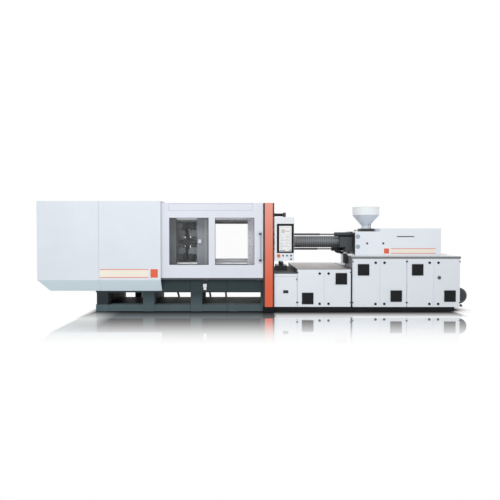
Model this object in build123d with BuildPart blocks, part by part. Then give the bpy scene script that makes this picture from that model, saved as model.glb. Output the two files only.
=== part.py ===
from build123d import *
import math
import os

# A horizontal toggle-clamp injection moulding machine of about 400 tonnes.
# Millimetres. +X runs from the clamp end to the injection end, -Y is the
# operator's side and +Z is up. The origin is on the floor under the middle
# of the machine. The mould is shown open, as in the photograph.

# Clearances
SLIDE_GAP = 0.3          # between flat faces that slide past each other
RUNNING_FIT = 0.05       # radial, between a rod or pin and its bore
DOOR_GAP = 0.5           # between a cabinet door and its carcass
SHEET = 4.0              # sheet of the covers and cabinets

# Machine axis, platens and tie bars
AXIS_Z = 1405.0          # height of the barrel and the clamp axis
MOULD_FACE_X = -131.0    # mould face of the fixed platen
OPEN_DAYLIGHT = 840.0    # between the platens as shown
PLATEN_SIZE = 1180.0
PLATEN_CORNER = 60.0
FIXED_PLATEN_T = 240.0
MOVING_PLATEN_T = 225.0
TAILSTOCK_T = 260.0
TIE_EDGE = 125.0         # tie bar's middle to the platen's edge
TIE_PITCH = PLATEN_SIZE - 2 * TIE_EDGE
TIE_DIA = 110.0
TIE_NUT_DIA = 200.0
TIE_NUT_T = 110.0
TIE_BAR_SPARE = 10.0     # bar past its front nut
MOULD_HEIGHT_TRAVEL = 400.0
RING_DIA = 160.0         # locating ring of the mould
RING_DEPTH = 20.0
NOZZLE_HOLE_R = 62.0
NOZZLE_CONE_R = 130.0
BOLT_PITCH = 210.0       # clamp holes for moulds
BOLT_DIA = 24.0
BOLT_DEPTH = 50.0

# Toggle: all four main links are alike, so the platen keeps level
LINK = 440.0             # between the two pins of a main link
LINK_R = 72.0            # round ends of the links and lugs
LINK_WAIST = 96.0
RECESS_W = 44.0          # lightening recess along each link plate
RECESS_DEPTH = 12.0
PIN_R = 36.0
PIN_HEAD_T = 10.0
PIN_HEAD_LAP = 12.0
PIN_OFFSET = 190.0       # pins above and below the axis
OPEN_PIN_GAP = 220.0     # between tailstock pin and platen pin as shown
PLATEN_LUG = 145.0       # platen's rear face to its pins
TAIL_LUG = 80.0          # tailstock's front face to its pins
REAR_PLATE_Y = 180.0     # middle of a rear link's plate
PLATE_T = 60.0
PLATE_PITCH = 62.0       # from a rear link's plate to the front link's
LUG_T = 48.0
CROSS_LINK = 160.0       # between the pins of a crosshead link
CROSS_LINK_T = 80.0
CROSS_R = 38.0
CROSS_PIN_R = 20.0
CROSSHEAD_T = 100.0
CROSSHEAD_WING = 290.0
CROSSHEAD_H = 160.0
GUIDE_ROD_Y = 250.0
GUIDE_ROD_R = 28.0
GUIDE_ROD_END_GAP = 20.0
PISTON_ROD_R = 45.0
CYLINDER_R = 140.0
CYLINDER_L = 820.0
EJECTOR_R = 25.0
EJECTOR_CYL_R = 60.0
EJECTOR_CYL_L = 150.0

# Half widths, from the covers inwards
COVER_HALF = 1000.0
DOOR_SETBACK = 40.0
BASE_SETBACK = 130.0
SERVICE_SETBACK = 75.0
DRIVE_SETBACK = 130.0
PANEL_SETBACK = 52.0
DOOR_FRONT = COVER_HALF - DOOR_SETBACK
BASE_HALF = COVER_HALF - BASE_SETBACK
SERVICE_FRONT = COVER_HALF - SERVICE_SETBACK   # low and middle cabinets
DRIVE_FRONT = COVER_HALF - DRIVE_SETBACK       # right cabinet
INJECTION_REAR = COVER_HALF - DRIVE_SETBACK
PANEL_Y = PANEL_SETBACK - COVER_HALF

# Lengths, from the pillar outwards to both ends
PILLAR_LEFT = 216.0
PILLAR_W = 160.0
PILLAR_TRIM_L = 32.0
PILLAR_TRIM_R = 28.0
DOOR_SEAL = 2.0
DOOR_L = 2064.0
DOOR_LAP = 12.0          # of the door past the cover's edge
MIDDLE_COVER_L = 1242.0
REAR_COVER_L = 1236.0
SEAM_ON_BASE = 110.0     # base's left end to the covers' seam
PILLAR_RIGHT = PILLAR_LEFT + PILLAR_W
DOOR_RIGHT = PILLAR_LEFT - PILLAR_TRIM_L - DOOR_SEAL
DOOR_LEFT = DOOR_RIGHT - DOOR_L
COVER_RIGHT = DOOR_LEFT + DOOR_LAP
COVER_SEAM = COVER_RIGHT - MIDDLE_COVER_L
COVER_LEFT = COVER_SEAM - REAR_COVER_L
BASE_LEFT = COVER_SEAM - SEAM_ON_BASE
BASE_RIGHT = PILLAR_RIGHT + PILLAR_TRIM_R

# Heights, from the axis down to the beds and up to the covers
BASE_DROP = 135.0        # platens' lower edge to the clamp base
BASE_TOP = AXIS_Z - PLATEN_SIZE / 2 - BASE_DROP
COVER_RISE = 835.0
COVER_TOP = AXIS_Z + COVER_RISE
DOOR_DROP = 35.0
DOOR_TOP = COVER_TOP - DOOR_DROP

# Clamp base
BEAM_H = 290.0
BEAM_BOTTOM = BASE_TOP - BEAM_H
BEAM_W = 380.0
FOOT_T = 6.0
SILL_TOP = 142.0         # top of the front bottom beam
SILL_W = 150.0
COLUMN_W = 228.0
COLUMN_D = 230.0
COLUMN_LEFT = (BASE_LEFT + 20.0, BASE_LEFT + 963.0, BASE_LEFT + 1931.0)
FOOT_LEFT = BASE_RIGHT - 941.0   # the foot that has no column
WEB_T = 55.0
REAR_FLANGE = 120.0
REAR_LEG_X = (BASE_LEFT + 344.0, BASE_LEFT + 498.0)
FLANGE_T = 20.0
END_COLUMN_W = 267.0
TRAY_TOP = 96.0
TRAY_T = 16.0
TRAY_HALF = 400.0
WAY_EDGE = 40.0          # middle of a platen way, in from the platen's side
WAY_Y = PLATEN_SIZE / 2 - WAY_EDGE
WAY_W = 100.0
WAY_T = 30.0
WAY_LEFT = -2560.0

# Covers, doors and pillar
COVER_GAP = 3.0
COVER_LIP_T = 6.0
COVER_SKIRT = 256.0      # of the covers below the base's top
COVER_SLOPE_H = 232.0
COVER_BOTTOM = BASE_TOP - COVER_SKIRT
COVER_SLOPE_TOP = COVER_BOTTOM + COVER_SLOPE_H
COVER_SLOPE_IN = 120.0
COVER_END_IN = 206.0
DOOR_BOTTOM = BASE_TOP + 15.0
DOOR_T = 60.0
DOOR_EDGE = 30.0
DOOR_TRAVEL = 1450.0
WINDOW_SILL = 264.0
WINDOW_HEAD = 299.0
WINDOW_BOTTOM = DOOR_BOTTOM + WINDOW_SILL
WINDOW_TOP = DOOR_TOP - WINDOW_HEAD
WINDOW_SIDE = 177.0      # from the door's ends to its windows
MULLION = 129.0
REAR_WIDE = 1145.0       # the rear door's right window
WINDOWS_LEFT = DOOR_LEFT + WINDOW_SIDE
WINDOWS_RIGHT = DOOR_RIGHT - WINDOW_SIDE
WINDOWS_MIDDLE = (WINDOWS_LEFT + WINDOWS_RIGHT) / 2
FRONT_WINDOWS = (
    (WINDOWS_LEFT, WINDOWS_MIDDLE - MULLION / 2),
    (WINDOWS_MIDDLE + MULLION / 2, WINDOWS_RIGHT),
)
REAR_WINDOWS = (
    (WINDOWS_LEFT - 95.0, WINDOWS_RIGHT - REAR_WIDE - MULLION),
    (WINDOWS_RIGHT - REAR_WIDE, WINDOWS_RIGHT),
)
PANE_LAP = 14.0
PANE_T = 6.0
FIELD_DEPTH = 3.0        # shallow field over the windows
FIELD = (WINDOWS_LEFT - 11.0, DOOR_RIGHT - 206.0, DOOR_TOP - 155.0, DOOR_TOP - 15.0)
HANDLE_X = DOOR_RIGHT - 48.0
HANDLE_BOTTOM = DOOR_BOTTOM + 339.0
HANDLE_TOP = HANDLE_BOTTOM + 566.0
HANDLE_R = 11.0
HANDLE_OUT = 50.0
HANDLE_BLOCK = 34.0
HANDLE_CAP = 4.0
RAIL_T = 50.0
RAIL_H = 80.0
RAIL_TOP = DOOR_TOP - 15.0
RAIL_GAP = 5.0
PILLAR_BOTTOM = 116.0
PILLAR_TOP = DOOR_TOP - 3.0
PILLAR_CORNER = 14.0
TRIM_SETBACK = 12.0


def save(piece, name):
    """Label a finished piece and write it to its file."""
    piece.part.label = name
    export_step(piece.part, f"parts/{name}.step")


def block(x, y, z, mode=Mode.ADD):
    """A block between two values on each axis."""
    with Locations(((x[0] + x[1]) / 2, (y[0] + y[1]) / 2, (z[0] + z[1]) / 2)):
        Box(abs(x[1] - x[0]), abs(y[1] - y[0]), abs(z[1] - z[0]), mode=mode)


def panel(u, v, mode=Mode.ADD):
    """A rectangle between two values on each axis of a sketch."""
    with Locations(((u[0] + u[1]) / 2, (v[0] + v[1]) / 2)):
        Rectangle(abs(u[1] - u[0]), abs(v[1] - v[0]), mode=mode)


def rod_x(x, y, z, radius, mode=Mode.ADD):
    """A round bar along X between two values of x."""
    with BuildSketch(Plane.YZ.offset(x[0])) as section:
        with Locations((y, z)):
            Circle(radius)
    extrude(section.sketch, amount=x[1] - x[0], mode=mode)


def rod_y(x, y, z, radius, mode=Mode.ADD):
    """A round bar along Y between two values of y."""
    with BuildSketch(Plane.XZ.offset(-y[0])) as section:
        with Locations((x, z)):
            Circle(radius)
    extrude(section.sketch, amount=y[0] - y[1], mode=mode)


def rod_z(x, y, z, radius, mode=Mode.ADD):
    """A round bar along Z between two values of z."""
    with BuildSketch(Plane.XY.offset(z[0])) as section:
        with Locations((x, y)):
            Circle(radius)
    extrude(section.sketch, amount=z[1] - z[0], mode=mode)


SIDES = (-1, 1)
TIE_CENTRES = [(sy * TIE_PITCH / 2, AXIS_Z + sz * TIE_PITCH / 2) for sy in SIDES for sz in SIDES]
BOLT_COLUMNS = (-1.5, -0.5, 0.5, 1.5)
BOLT_ROWS = (-1.5, -0.5, 0.5, 1.5)

# Places along the clamp, from the fixed platen to the tailstock
FIXED_BACK_X = MOULD_FACE_X + FIXED_PLATEN_T
MOVING_FACE_X = MOULD_FACE_X - OPEN_DAYLIGHT
MOVING_BACK_X = MOVING_FACE_X - MOVING_PLATEN_T
PLATEN_PIN_X = MOVING_BACK_X - PLATEN_LUG
TAIL_PIN_X = PLATEN_PIN_X - OPEN_PIN_GAP
TAIL_FACE_X = TAIL_PIN_X - TAIL_LUG
TAIL_BACK_X = TAIL_FACE_X - TAILSTOCK_T
FOLD = math.acos(OPEN_PIN_GAP / 2 / LINK)
KNEE_X = TAIL_PIN_X + LINK * math.cos(FOLD)
KNEE_RISE = PIN_OFFSET + LINK * math.sin(FOLD)
CROSS_X = TAIL_PIN_X + CROSS_LINK * math.cos(FOLD)
CROSS_RISE = PIN_OFFSET + CROSS_LINK * math.sin(FOLD)
CROSSHEAD_X = TAIL_PIN_X + 2 * CROSS_LINK * math.cos(FOLD)
FRONT_PLATE_Y = REAR_PLATE_Y + PLATE_PITCH
WAY_TOP = BASE_TOP + WAY_T

os.makedirs("parts", exist_ok=True)


def platen_outline():
    """Square platen with its four tie bar bores, in a plane across the machine."""
    with Locations((0, AXIS_Z)):
        RectangleRounded(PLATEN_SIZE, PLATEN_SIZE, PLATEN_CORNER)
    with Locations(*TIE_CENTRES):
        Circle(TIE_DIA / 2 + RUNNING_FIT, mode=Mode.SUBTRACT)


def platen_feet(x, bottom):
    """Two feet under a platen, over its ways."""
    for side in SIDES:
        y_in = side * (WAY_Y - WAY_W / 2)
        y_out = side * PLATEN_SIZE / 2
        block(x, (y_in, y_out), (bottom, AXIS_Z - PLATEN_SIZE / 2 + PLATEN_CORNER))


def clamp_holes(face_x, inward):
    """Blind threaded holes for mould bolts, inward being the sign of X into the platen."""
    with BuildSketch(Plane.YZ.offset(face_x)) as holes:
        for column in BOLT_COLUMNS:
            for row in BOLT_ROWS:
                if abs(column) > 1 or abs(row) > 1:
                    with Locations((column * BOLT_PITCH, AXIS_Z + row * BOLT_PITCH)):
                        Circle(BOLT_DIA / 2)
    extrude(holes.sketch, amount=inward * BOLT_DEPTH, mode=Mode.SUBTRACT)


def pocket(x, y, z):
    """A cored pocket in a casting."""
    block(x, y, z, mode=Mode.SUBTRACT)


# Fixed platen: bored for the nozzle, with the locating ring's seat on the mould side
with BuildPart() as fixed_platen:
    with BuildSketch(Plane.YZ.offset(MOULD_FACE_X)):
        platen_outline()
    extrude(amount=FIXED_PLATEN_T)
    platen_feet((MOULD_FACE_X, FIXED_BACK_X), BASE_TOP)
    rod_x((MOULD_FACE_X, MOULD_FACE_X + RING_DEPTH), 0, AXIS_Z, RING_DIA / 2, Mode.SUBTRACT)
    rod_x((MOULD_FACE_X, FIXED_BACK_X), 0, AXIS_Z, NOZZLE_HOLE_R, Mode.SUBTRACT)
    with BuildSketch(Plane.YZ.offset(FIXED_BACK_X)):
        with Locations((0, AXIS_Z)):
            Circle(NOZZLE_CONE_R)
    with BuildSketch(Plane.YZ.offset(MOULD_FACE_X + FIXED_PLATEN_T / 2)):
        with Locations((0, AXIS_Z)):
            Circle(NOZZLE_HOLE_R)
    loft(mode=Mode.SUBTRACT)
    clamp_holes(MOULD_FACE_X, 1)
save(fixed_platen, "fixed_platen")

# Tie bars run from the front nuts to the end of the mould height travel
TIE_FRONT_X = FIXED_BACK_X + TIE_NUT_T + TIE_BAR_SPARE
TIE_REAR_X = TAIL_BACK_X - MOULD_HEIGHT_TRAVEL - TIE_NUT_T - TIE_BAR_SPARE
with BuildPart() as tie_bars:
    for tie_y, tie_z in TIE_CENTRES:
        rod_x((TIE_REAR_X, TIE_FRONT_X), tie_y, tie_z, TIE_DIA / 2)
save(tie_bars, "tie_bars")

with BuildPart() as tie_bar_nuts:
    with BuildSketch(Plane.YZ.offset(FIXED_BACK_X)):
        with Locations(*TIE_CENTRES):
            RegularPolygon(TIE_NUT_DIA / 2, 8)
            Circle(TIE_DIA / 2 + RUNNING_FIT, mode=Mode.SUBTRACT)
    extrude(amount=TIE_NUT_T)
save(tie_bar_nuts, "tie_bar_nuts")


def lugs(pin_x, root_x, y_middles, thickness):
    """Round-nosed lugs from a face at root_x to the upper and lower pins at pin_x."""
    for y_middle in y_middles:
        for side in SIDES:
            with BuildSketch(Plane.XZ.offset(-side * y_middle - thickness / 2)) as plate:
                for rise in SIDES:
                    z = AXIS_Z + rise * PIN_OFFSET
                    with Locations((pin_x, z)):
                        Circle(LINK_R)
                    panel((pin_x, root_x), (z - LINK_R, z + LINK_R))
            extrude(plate.sketch, amount=thickness)


def lug_pins(pin_x, y):
    """Pins pressed into the lugs, one on each side and height, each with a head outside."""
    for side in SIDES:
        for rise in SIDES:
            pin_z = AXIS_Z + rise * PIN_OFFSET
            rod_y(pin_x, (side * y[0], side * y[1]), pin_z, PIN_R)
            rod_y(pin_x, (side * y[1], side * (y[1] + PIN_HEAD_T)), pin_z, PIN_R + PIN_HEAD_LAP)


# Tailstock: ribbed casting with lugs for the rear links
TAIL_INNER_LUG_Y = REAR_PLATE_Y - PLATE_T / 2 - 2 - LUG_T / 2
TAIL_OUTER_LUG_Y = REAR_PLATE_Y + PLATE_T / 2 + 2 + LUG_T / 2
TAIL_PIN_Y = (TAIL_INNER_LUG_Y - LUG_T / 2, TAIL_OUTER_LUG_Y + LUG_T / 2)
RIB_T = 70.0
POCKET_DEPTH = 150.0
with BuildPart() as tailstock:
    with BuildSketch(Plane.YZ.offset(TAIL_BACK_X)):
        platen_outline()
    extrude(amount=TAILSTOCK_T)
    platen_feet((TAIL_BACK_X, TAIL_FACE_X), WAY_TOP + SLIDE_GAP)
    for side in SIDES:
        for rise in SIDES:
            pocket(
                (TAIL_BACK_X, TAIL_BACK_X + POCKET_DEPTH),
                (side * RIB_T / 2, side * (TIE_PITCH / 2 - TIE_DIA)),
                (AXIS_Z + rise * (CYLINDER_R + RIB_T), AXIS_Z + rise * (PLATEN_SIZE / 2 - RIB_T)),
            )
    lugs(TAIL_PIN_X, TAIL_FACE_X, (TAIL_INNER_LUG_Y, TAIL_OUTER_LUG_Y), LUG_T)
    lug_pins(TAIL_PIN_X, TAIL_PIN_Y)
    rod_x((TAIL_BACK_X, TAIL_FACE_X), 0, AXIS_Z, PISTON_ROD_R + 5, Mode.SUBTRACT)
    for side in SIDES:
        guide_seat = (TAIL_BACK_X, TAIL_FACE_X)
        rod_x(guide_seat, side * GUIDE_ROD_Y, AXIS_Z, GUIDE_ROD_R + RUNNING_FIT, Mode.SUBTRACT)
save(tailstock, "tailstock")

# Mould height nuts: toothed rings behind the tailstock, turned together by a chain
NUT_TEETH = 12
NUT_RING_R = 125.0
NUT_NOTCH_R = 14.0
with BuildPart() as mould_height_nuts:
    with BuildSketch(Plane.YZ.offset(TAIL_BACK_X - TIE_NUT_T)):
        for tie_y, tie_z in TIE_CENTRES:
            with Locations((tie_y, tie_z)):
                RegularPolygon(NUT_RING_R, 24)
                Circle(TIE_DIA / 2 + RUNNING_FIT, mode=Mode.SUBTRACT)
                with PolarLocations(NUT_RING_R, NUT_TEETH):
                    RegularPolygon(NUT_NOTCH_R, 4, mode=Mode.SUBTRACT)
    extrude(amount=TIE_NUT_T)
save(mould_height_nuts, "mould_height_nuts")

# Clamp cylinder on the tailstock's back, with the crosshead's two guide rods
GUIDE_ROD_FRONT_X = MOVING_BACK_X - GUIDE_ROD_END_GAP
CYLINDER_CAP = 60.0
with BuildPart() as clamp_cylinder:
    rod_x((TAIL_BACK_X - CYLINDER_L, TAIL_BACK_X), 0, AXIS_Z, CYLINDER_R - 20)
    for cap_x in (TAIL_BACK_X - CYLINDER_CAP, TAIL_BACK_X - CYLINDER_L):
        rod_x((cap_x, cap_x + CYLINDER_CAP), 0, AXIS_Z, CYLINDER_R)
    bore_x = (TAIL_BACK_X - CYLINDER_L + CYLINDER_CAP, TAIL_BACK_X)
    rod_x(bore_x, 0, AXIS_Z, PISTON_ROD_R + RUNNING_FIT, Mode.SUBTRACT)
    for side in SIDES:
        rod_x((TAIL_BACK_X, GUIDE_ROD_FRONT_X), side * GUIDE_ROD_Y, AXIS_Z, GUIDE_ROD_R)
save(clamp_cylinder, "clamp_cylinder")


def link_plates(y_middle, ends):
    """Two like plates between two pins, ends being the pins' places as (x, z) pairs."""
    (x_a, z_a), (x_b, z_b) = ends
    tilt = math.degrees(math.atan2(z_b - z_a, x_b - x_a))
    for side in SIDES:
        with BuildSketch(Plane.XZ.offset(-side * y_middle - PLATE_T / 2)) as plate:
            with Locations((x_a, z_a), (x_b, z_b)):
                Circle(LINK_R)
            with Locations(Location(((x_a + x_b) / 2, (z_a + z_b) / 2), tilt)):
                Rectangle(math.dist((x_a, z_a), (x_b, z_b)), LINK_WAIST)
        extrude(plate.sketch, amount=PLATE_T)
        outer_y = side * (y_middle + PLATE_T / 2)
        with BuildSketch(Plane.XZ.offset(-outer_y)) as recess:
            with Locations(Location(((x_a + x_b) / 2, (z_a + z_b) / 2), tilt)):
                SlotCenterToCenter(LINK - 2 * LINK_R - RECESS_W, RECESS_W)
        extrude(recess.sketch, amount=side * RECESS_DEPTH, mode=Mode.SUBTRACT)


HUB_R = 60.0
KNEE_PIN_Y = FRONT_PLATE_Y + PLATE_T / 2
CROSS_PIN_Y = REAR_PLATE_Y - PLATE_T / 2


def rear_link(rise, name):
    """Rear link: two plates with a hub at the knee and the crosshead link's pin."""
    tail = (TAIL_PIN_X, AXIS_Z + rise * PIN_OFFSET)
    knee = (KNEE_X, AXIS_Z + rise * KNEE_RISE)
    with BuildPart() as link:
        link_plates(REAR_PLATE_Y, (tail, knee))
        rod_y(knee[0], (-CROSS_PIN_Y, CROSS_PIN_Y), knee[1], HUB_R)
        cross_z = AXIS_Z + rise * CROSS_RISE
        rod_y(CROSS_X, (-CROSS_PIN_Y, CROSS_PIN_Y), cross_z, CROSS_PIN_R)
        for place in (tail, knee):
            whole = (-REAR_PLATE_Y - PLATE_T, REAR_PLATE_Y + PLATE_T)
            rod_y(place[0], whole, place[1], PIN_R + RUNNING_FIT, Mode.SUBTRACT)
    save(link, name)


def front_link(rise, name):
    """Front link: two plates on the knee pin, which turns in the rear link's hub."""
    knee = (KNEE_X, AXIS_Z + rise * KNEE_RISE)
    platen = (PLATEN_PIN_X, AXIS_Z + rise * PIN_OFFSET)
    with BuildPart() as link:
        link_plates(FRONT_PLATE_Y, (knee, platen))
        whole = (-FRONT_PLATE_Y - PLATE_T, FRONT_PLATE_Y + PLATE_T)
        rod_y(platen[0], whole, platen[1], PIN_R + RUNNING_FIT, Mode.SUBTRACT)
        rod_y(knee[0], (-KNEE_PIN_Y, KNEE_PIN_Y), knee[1], PIN_R)
    save(link, name)


def cross_link(rise, name):
    """Crosshead link: one thick plate from the rear link's pin to the crosshead's."""
    top = (CROSS_X, AXIS_Z + rise * CROSS_RISE)
    bottom = (CROSSHEAD_X, AXIS_Z + rise * PIN_OFFSET)
    tilt = math.degrees(math.atan2(bottom[1] - top[1], bottom[0] - top[0]))
    with BuildPart() as link:
        with BuildSketch(Plane.XZ.offset(-CROSS_LINK_T / 2)):
            middle = ((top[0] + bottom[0]) / 2, (top[1] + bottom[1]) / 2)
            with Locations(Location(middle, tilt)):
                SlotCenterToCenter(CROSS_LINK, 2 * CROSS_R)
            with Locations(top, bottom):
                Circle(CROSS_PIN_R + RUNNING_FIT, mode=Mode.SUBTRACT)
        extrude(amount=CROSS_LINK_T)
    save(link, name)


for link_rise, link_name in ((1, "upper"), (-1, "lower")):
    rear_link(link_rise, f"{link_name}_rear_link")
    front_link(link_rise, f"{link_name}_front_link")
    cross_link(link_rise, f"{link_name}_cross_link")

# Crosshead: rides on the guide rods and pushes both crosshead links
LUG_IN_Y = CROSS_LINK_T / 2 + 2
LUG_OUT_Y = TAIL_PIN_Y[0] - 12
PISTON_REACH = 300.0     # of the piston rod past the tailstock's back
ROD_END_X = TAIL_BACK_X - PISTON_REACH
with BuildPart() as crosshead:
    wings = (-CROSSHEAD_WING, CROSSHEAD_WING)
    sides_x = (CROSSHEAD_X - CROSSHEAD_T / 2, CROSSHEAD_X + CROSSHEAD_T / 2)
    block(sides_x, wings, (AXIS_Z - CROSSHEAD_H / 2, AXIS_Z + CROSSHEAD_H / 2))
    for side in SIDES:
        y_start = min(side * LUG_IN_Y, side * LUG_OUT_Y)
        with BuildSketch(Plane.XZ.offset(-y_start - (LUG_OUT_Y - LUG_IN_Y))):
            panel((CROSSHEAD_X - CROSS_R, CROSSHEAD_X + CROSS_R), (AXIS_Z - PIN_OFFSET, AXIS_Z + PIN_OFFSET))
            with Locations((CROSSHEAD_X, AXIS_Z - PIN_OFFSET), (CROSSHEAD_X, AXIS_Z + PIN_OFFSET)):
                Circle(CROSS_R)
        extrude(amount=LUG_OUT_Y - LUG_IN_Y)
    for rise in SIDES:
        rod_y(CROSSHEAD_X, (-LUG_OUT_Y, LUG_OUT_Y), AXIS_Z + rise * PIN_OFFSET, CROSS_PIN_R)
    for side in SIDES:
        rod_x(sides_x, side * GUIDE_ROD_Y, AXIS_Z, GUIDE_ROD_R + RUNNING_FIT, Mode.SUBTRACT)
    rod_x((ROD_END_X, sides_x[0]), 0, AXIS_Z, PISTON_ROD_R)
save(crosshead, "crosshead")

# Moving platen: ribbed behind, with lugs for the front links
PLATEN_INNER_LUG_Y = FRONT_PLATE_Y - PLATE_T / 2 - 2 - LUG_T / 2
PLATEN_OUTER_LUG_Y = FRONT_PLATE_Y + PLATE_T / 2 + 2 + LUG_T / 2
PLATEN_PIN_Y = (PLATEN_INNER_LUG_Y - LUG_T / 2, PLATEN_OUTER_LUG_Y + LUG_T / 2)
PLATEN_POCKET = 110.0
with BuildPart() as moving_platen:
    with BuildSketch(Plane.YZ.offset(MOVING_BACK_X)):
        platen_outline()
    extrude(amount=MOVING_PLATEN_T)
    platen_feet((MOVING_BACK_X, MOVING_FACE_X), WAY_TOP + SLIDE_GAP)
    for side in SIDES:
        for rise in SIDES:
            pocket(
                (MOVING_BACK_X, MOVING_BACK_X + PLATEN_POCKET),
                (side * RIB_T / 2, side * (TIE_PITCH / 2 - TIE_DIA)),
                (AXIS_Z + rise * (PIN_OFFSET + LINK_R + 10), AXIS_Z + rise * (PLATEN_SIZE / 2 - RIB_T)),
            )
    lugs(PLATEN_PIN_X, MOVING_BACK_X, (PLATEN_INNER_LUG_Y, PLATEN_OUTER_LUG_Y), LUG_T)
    lug_pins(PLATEN_PIN_X, PLATEN_PIN_Y)
    rod_x((MOVING_BACK_X, MOVING_FACE_X), 0, AXIS_Z, EJECTOR_R + RUNNING_FIT, Mode.SUBTRACT)
    clamp_holes(MOVING_FACE_X, -1)
save(moving_platen, "moving_platen")

with BuildPart() as ejector_cylinder:
    ejector_x = (MOVING_BACK_X - EJECTOR_CYL_L, MOVING_BACK_X)
    rod_x(ejector_x, 0, AXIS_Z, EJECTOR_CYL_R)
    bore = (MOVING_BACK_X - EJECTOR_CYL_L + 20, MOVING_BACK_X)
    rod_x(bore, 0, AXIS_Z, EJECTOR_R + RUNNING_FIT, Mode.SUBTRACT)
save(ejector_cylinder, "ejector_cylinder")

with BuildPart() as ejector_rod:
    ejector_rear_x = MOVING_BACK_X - EJECTOR_CYL_L + 25
    rod_x((ejector_rear_x, MOVING_FACE_X - 5), 0, AXIS_Z, EJECTOR_R)
save(ejector_rod, "ejector_rod")

# Clamp base: box beams on webs and columns, with the platens' ways on top
with BuildPart() as clamp_base:
    for side in SIDES:
        beam_y = (side * (BASE_HALF - BEAM_W), side * BASE_HALF)
        block((BASE_LEFT, BASE_RIGHT), beam_y, (BEAM_BOTTOM, BASE_TOP))
        way_y = (side * (WAY_Y - WAY_W / 2), side * (WAY_Y + WAY_W / 2))
        block((WAY_LEFT, MOULD_FACE_X - 20), way_y, (BASE_TOP, WAY_TOP))
    block((BASE_LEFT, BASE_RIGHT), (-BASE_HALF, -BASE_HALF + SILL_W), (FOOT_T, SILL_TOP))
    for column_x in COLUMN_LEFT:
        web_x = (column_x, column_x + WEB_T)
        block(web_x, (-BASE_HALF + 5, BASE_HALF), (FOOT_T, BEAM_BOTTOM))
        block(web_x, (-BASE_HALF + BEAM_W, BASE_HALF - BEAM_W), (BEAM_BOTTOM, BASE_TOP - 80))
        column = (column_x, column_x + COLUMN_W)
        column_top = COVER_BOTTOM - 10 if column_x < COVER_RIGHT else BASE_TOP - 12
        block(column, (-BASE_HALF - 5, -BASE_HALF + COLUMN_D), (FOOT_T, column_top))
    flange_x = (COLUMN_LEFT[-1], COLUMN_LEFT[-1] + REAR_FLANGE)
    block(flange_x, (BASE_HALF - FLANGE_T, BASE_HALF), (FOOT_T, BEAM_BOTTOM))
    block(REAR_LEG_X, (BASE_HALF - SILL_W, BASE_HALF), (FOOT_T, BEAM_BOTTOM))
    block((BASE_RIGHT - END_COLUMN_W, BASE_RIGHT), (-BASE_HALF, -BASE_HALF + COLUMN_D), (FOOT_T, BASE_TOP))
    block((BASE_RIGHT - WEB_T, BASE_RIGHT), (-BASE_HALF, BASE_HALF), (FOOT_T, BASE_TOP - 80))
    block((COLUMN_LEFT[0], BASE_RIGHT), (-BASE_HALF + SILL_W, TRAY_HALF), (TRAY_TOP - TRAY_T, TRAY_TOP))
    foot_x = (FOOT_LEFT, FOOT_LEFT + COLUMN_W)
    block(foot_x, (-BASE_HALF - 5, -BASE_HALF + SILL_W), (FOOT_T, SILL_TOP - 8))
    block(foot_x, (-BASE_HALF - 5, -BASE_HALF + SILL_W), (BEAM_BOTTOM + 8, BASE_TOP - 12))
    outrigger_x = (PILLAR_LEFT - PILLAR_TRIM_L + 4, BASE_RIGHT - 4)
    for side in SIDES:
        outrigger_y = (side * BASE_HALF, side * (COVER_HALF - 10))
        block(outrigger_x, outrigger_y, (FOOT_T, PILLAR_BOTTOM))
save(clamp_base, "clamp_base")


def cover_profile(inset):
    """Cross-section of the clamp covers, inset from their outer faces."""
    half = COVER_HALF - inset
    top = COVER_TOP - inset
    with BuildLine() as outline:
        Polyline(
            (-half + COVER_SLOPE_IN, COVER_BOTTOM),
            (-half, COVER_SLOPE_TOP),
            (-half, top),
            (half, top),
            (half, COVER_SLOPE_TOP),
            (half - COVER_SLOPE_IN, COVER_BOTTOM),
            close=True,
        )
    make_face(outline.edges())


def cover_solid(x, inset, sloped_end):
    """Solid of the cover's profile, with the left end cut off below on a slope."""
    with BuildPart() as body:
        with BuildSketch(Plane.YZ.offset(x[0])):
            cover_profile(inset)
        extrude(amount=x[1] - x[0])
        if sloped_end:
            with BuildSketch(Plane.XZ.offset(-COVER_HALF)):
                with BuildLine():
                    Polyline(
                        (x[0], COVER_SLOPE_TOP),
                        (x[0] + COVER_END_IN, COVER_BOTTOM),
                        (x[0], COVER_BOTTOM),
                        close=True,
                    )
                make_face()
            extrude(amount=2 * COVER_HALF, mode=Mode.SUBTRACT)
    return body.part


def cover_lips(x):
    """Flanges along the bottom of a cover, bent in against the base."""
    for side in SIDES:
        lip_y = (side * BASE_HALF, side * (COVER_HALF - COVER_SLOPE_IN - SHEET / 2))
        block(x, lip_y, (COVER_BOTTOM, COVER_BOTTOM + COVER_LIP_T))


# Rear cover: a sheet hood with a sloped foot, closed at the end and under its overhang
rear_outer = cover_solid((COVER_LEFT, COVER_SEAM), 0, True)
rear_inner = cover_solid((COVER_LEFT + SHEET, COVER_SEAM), SHEET, True)
with BuildPart() as rear_cover:
    add(rear_outer)
    add(rear_inner, mode=Mode.SUBTRACT)
    cover_lips((BASE_LEFT, COVER_SEAM))
    pan_y = COVER_HALF - COVER_SLOPE_IN - SHEET / 2
    pan_x = (COVER_LEFT + COVER_END_IN, BASE_LEFT)
    block(pan_x, (-pan_y, pan_y), (COVER_BOTTOM, COVER_BOTTOM + SHEET))
save(rear_cover, "rear_cover")

middle_x = (COVER_SEAM + COVER_GAP, COVER_RIGHT)
middle_outer = cover_solid(middle_x, 0, False)
middle_inner = cover_solid(middle_x, SHEET, False)
with BuildPart() as middle_cover:
    add(middle_outer)
    add(middle_inner, mode=Mode.SUBTRACT)
    cover_lips(middle_x)
save(middle_cover, "middle_cover")

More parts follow.
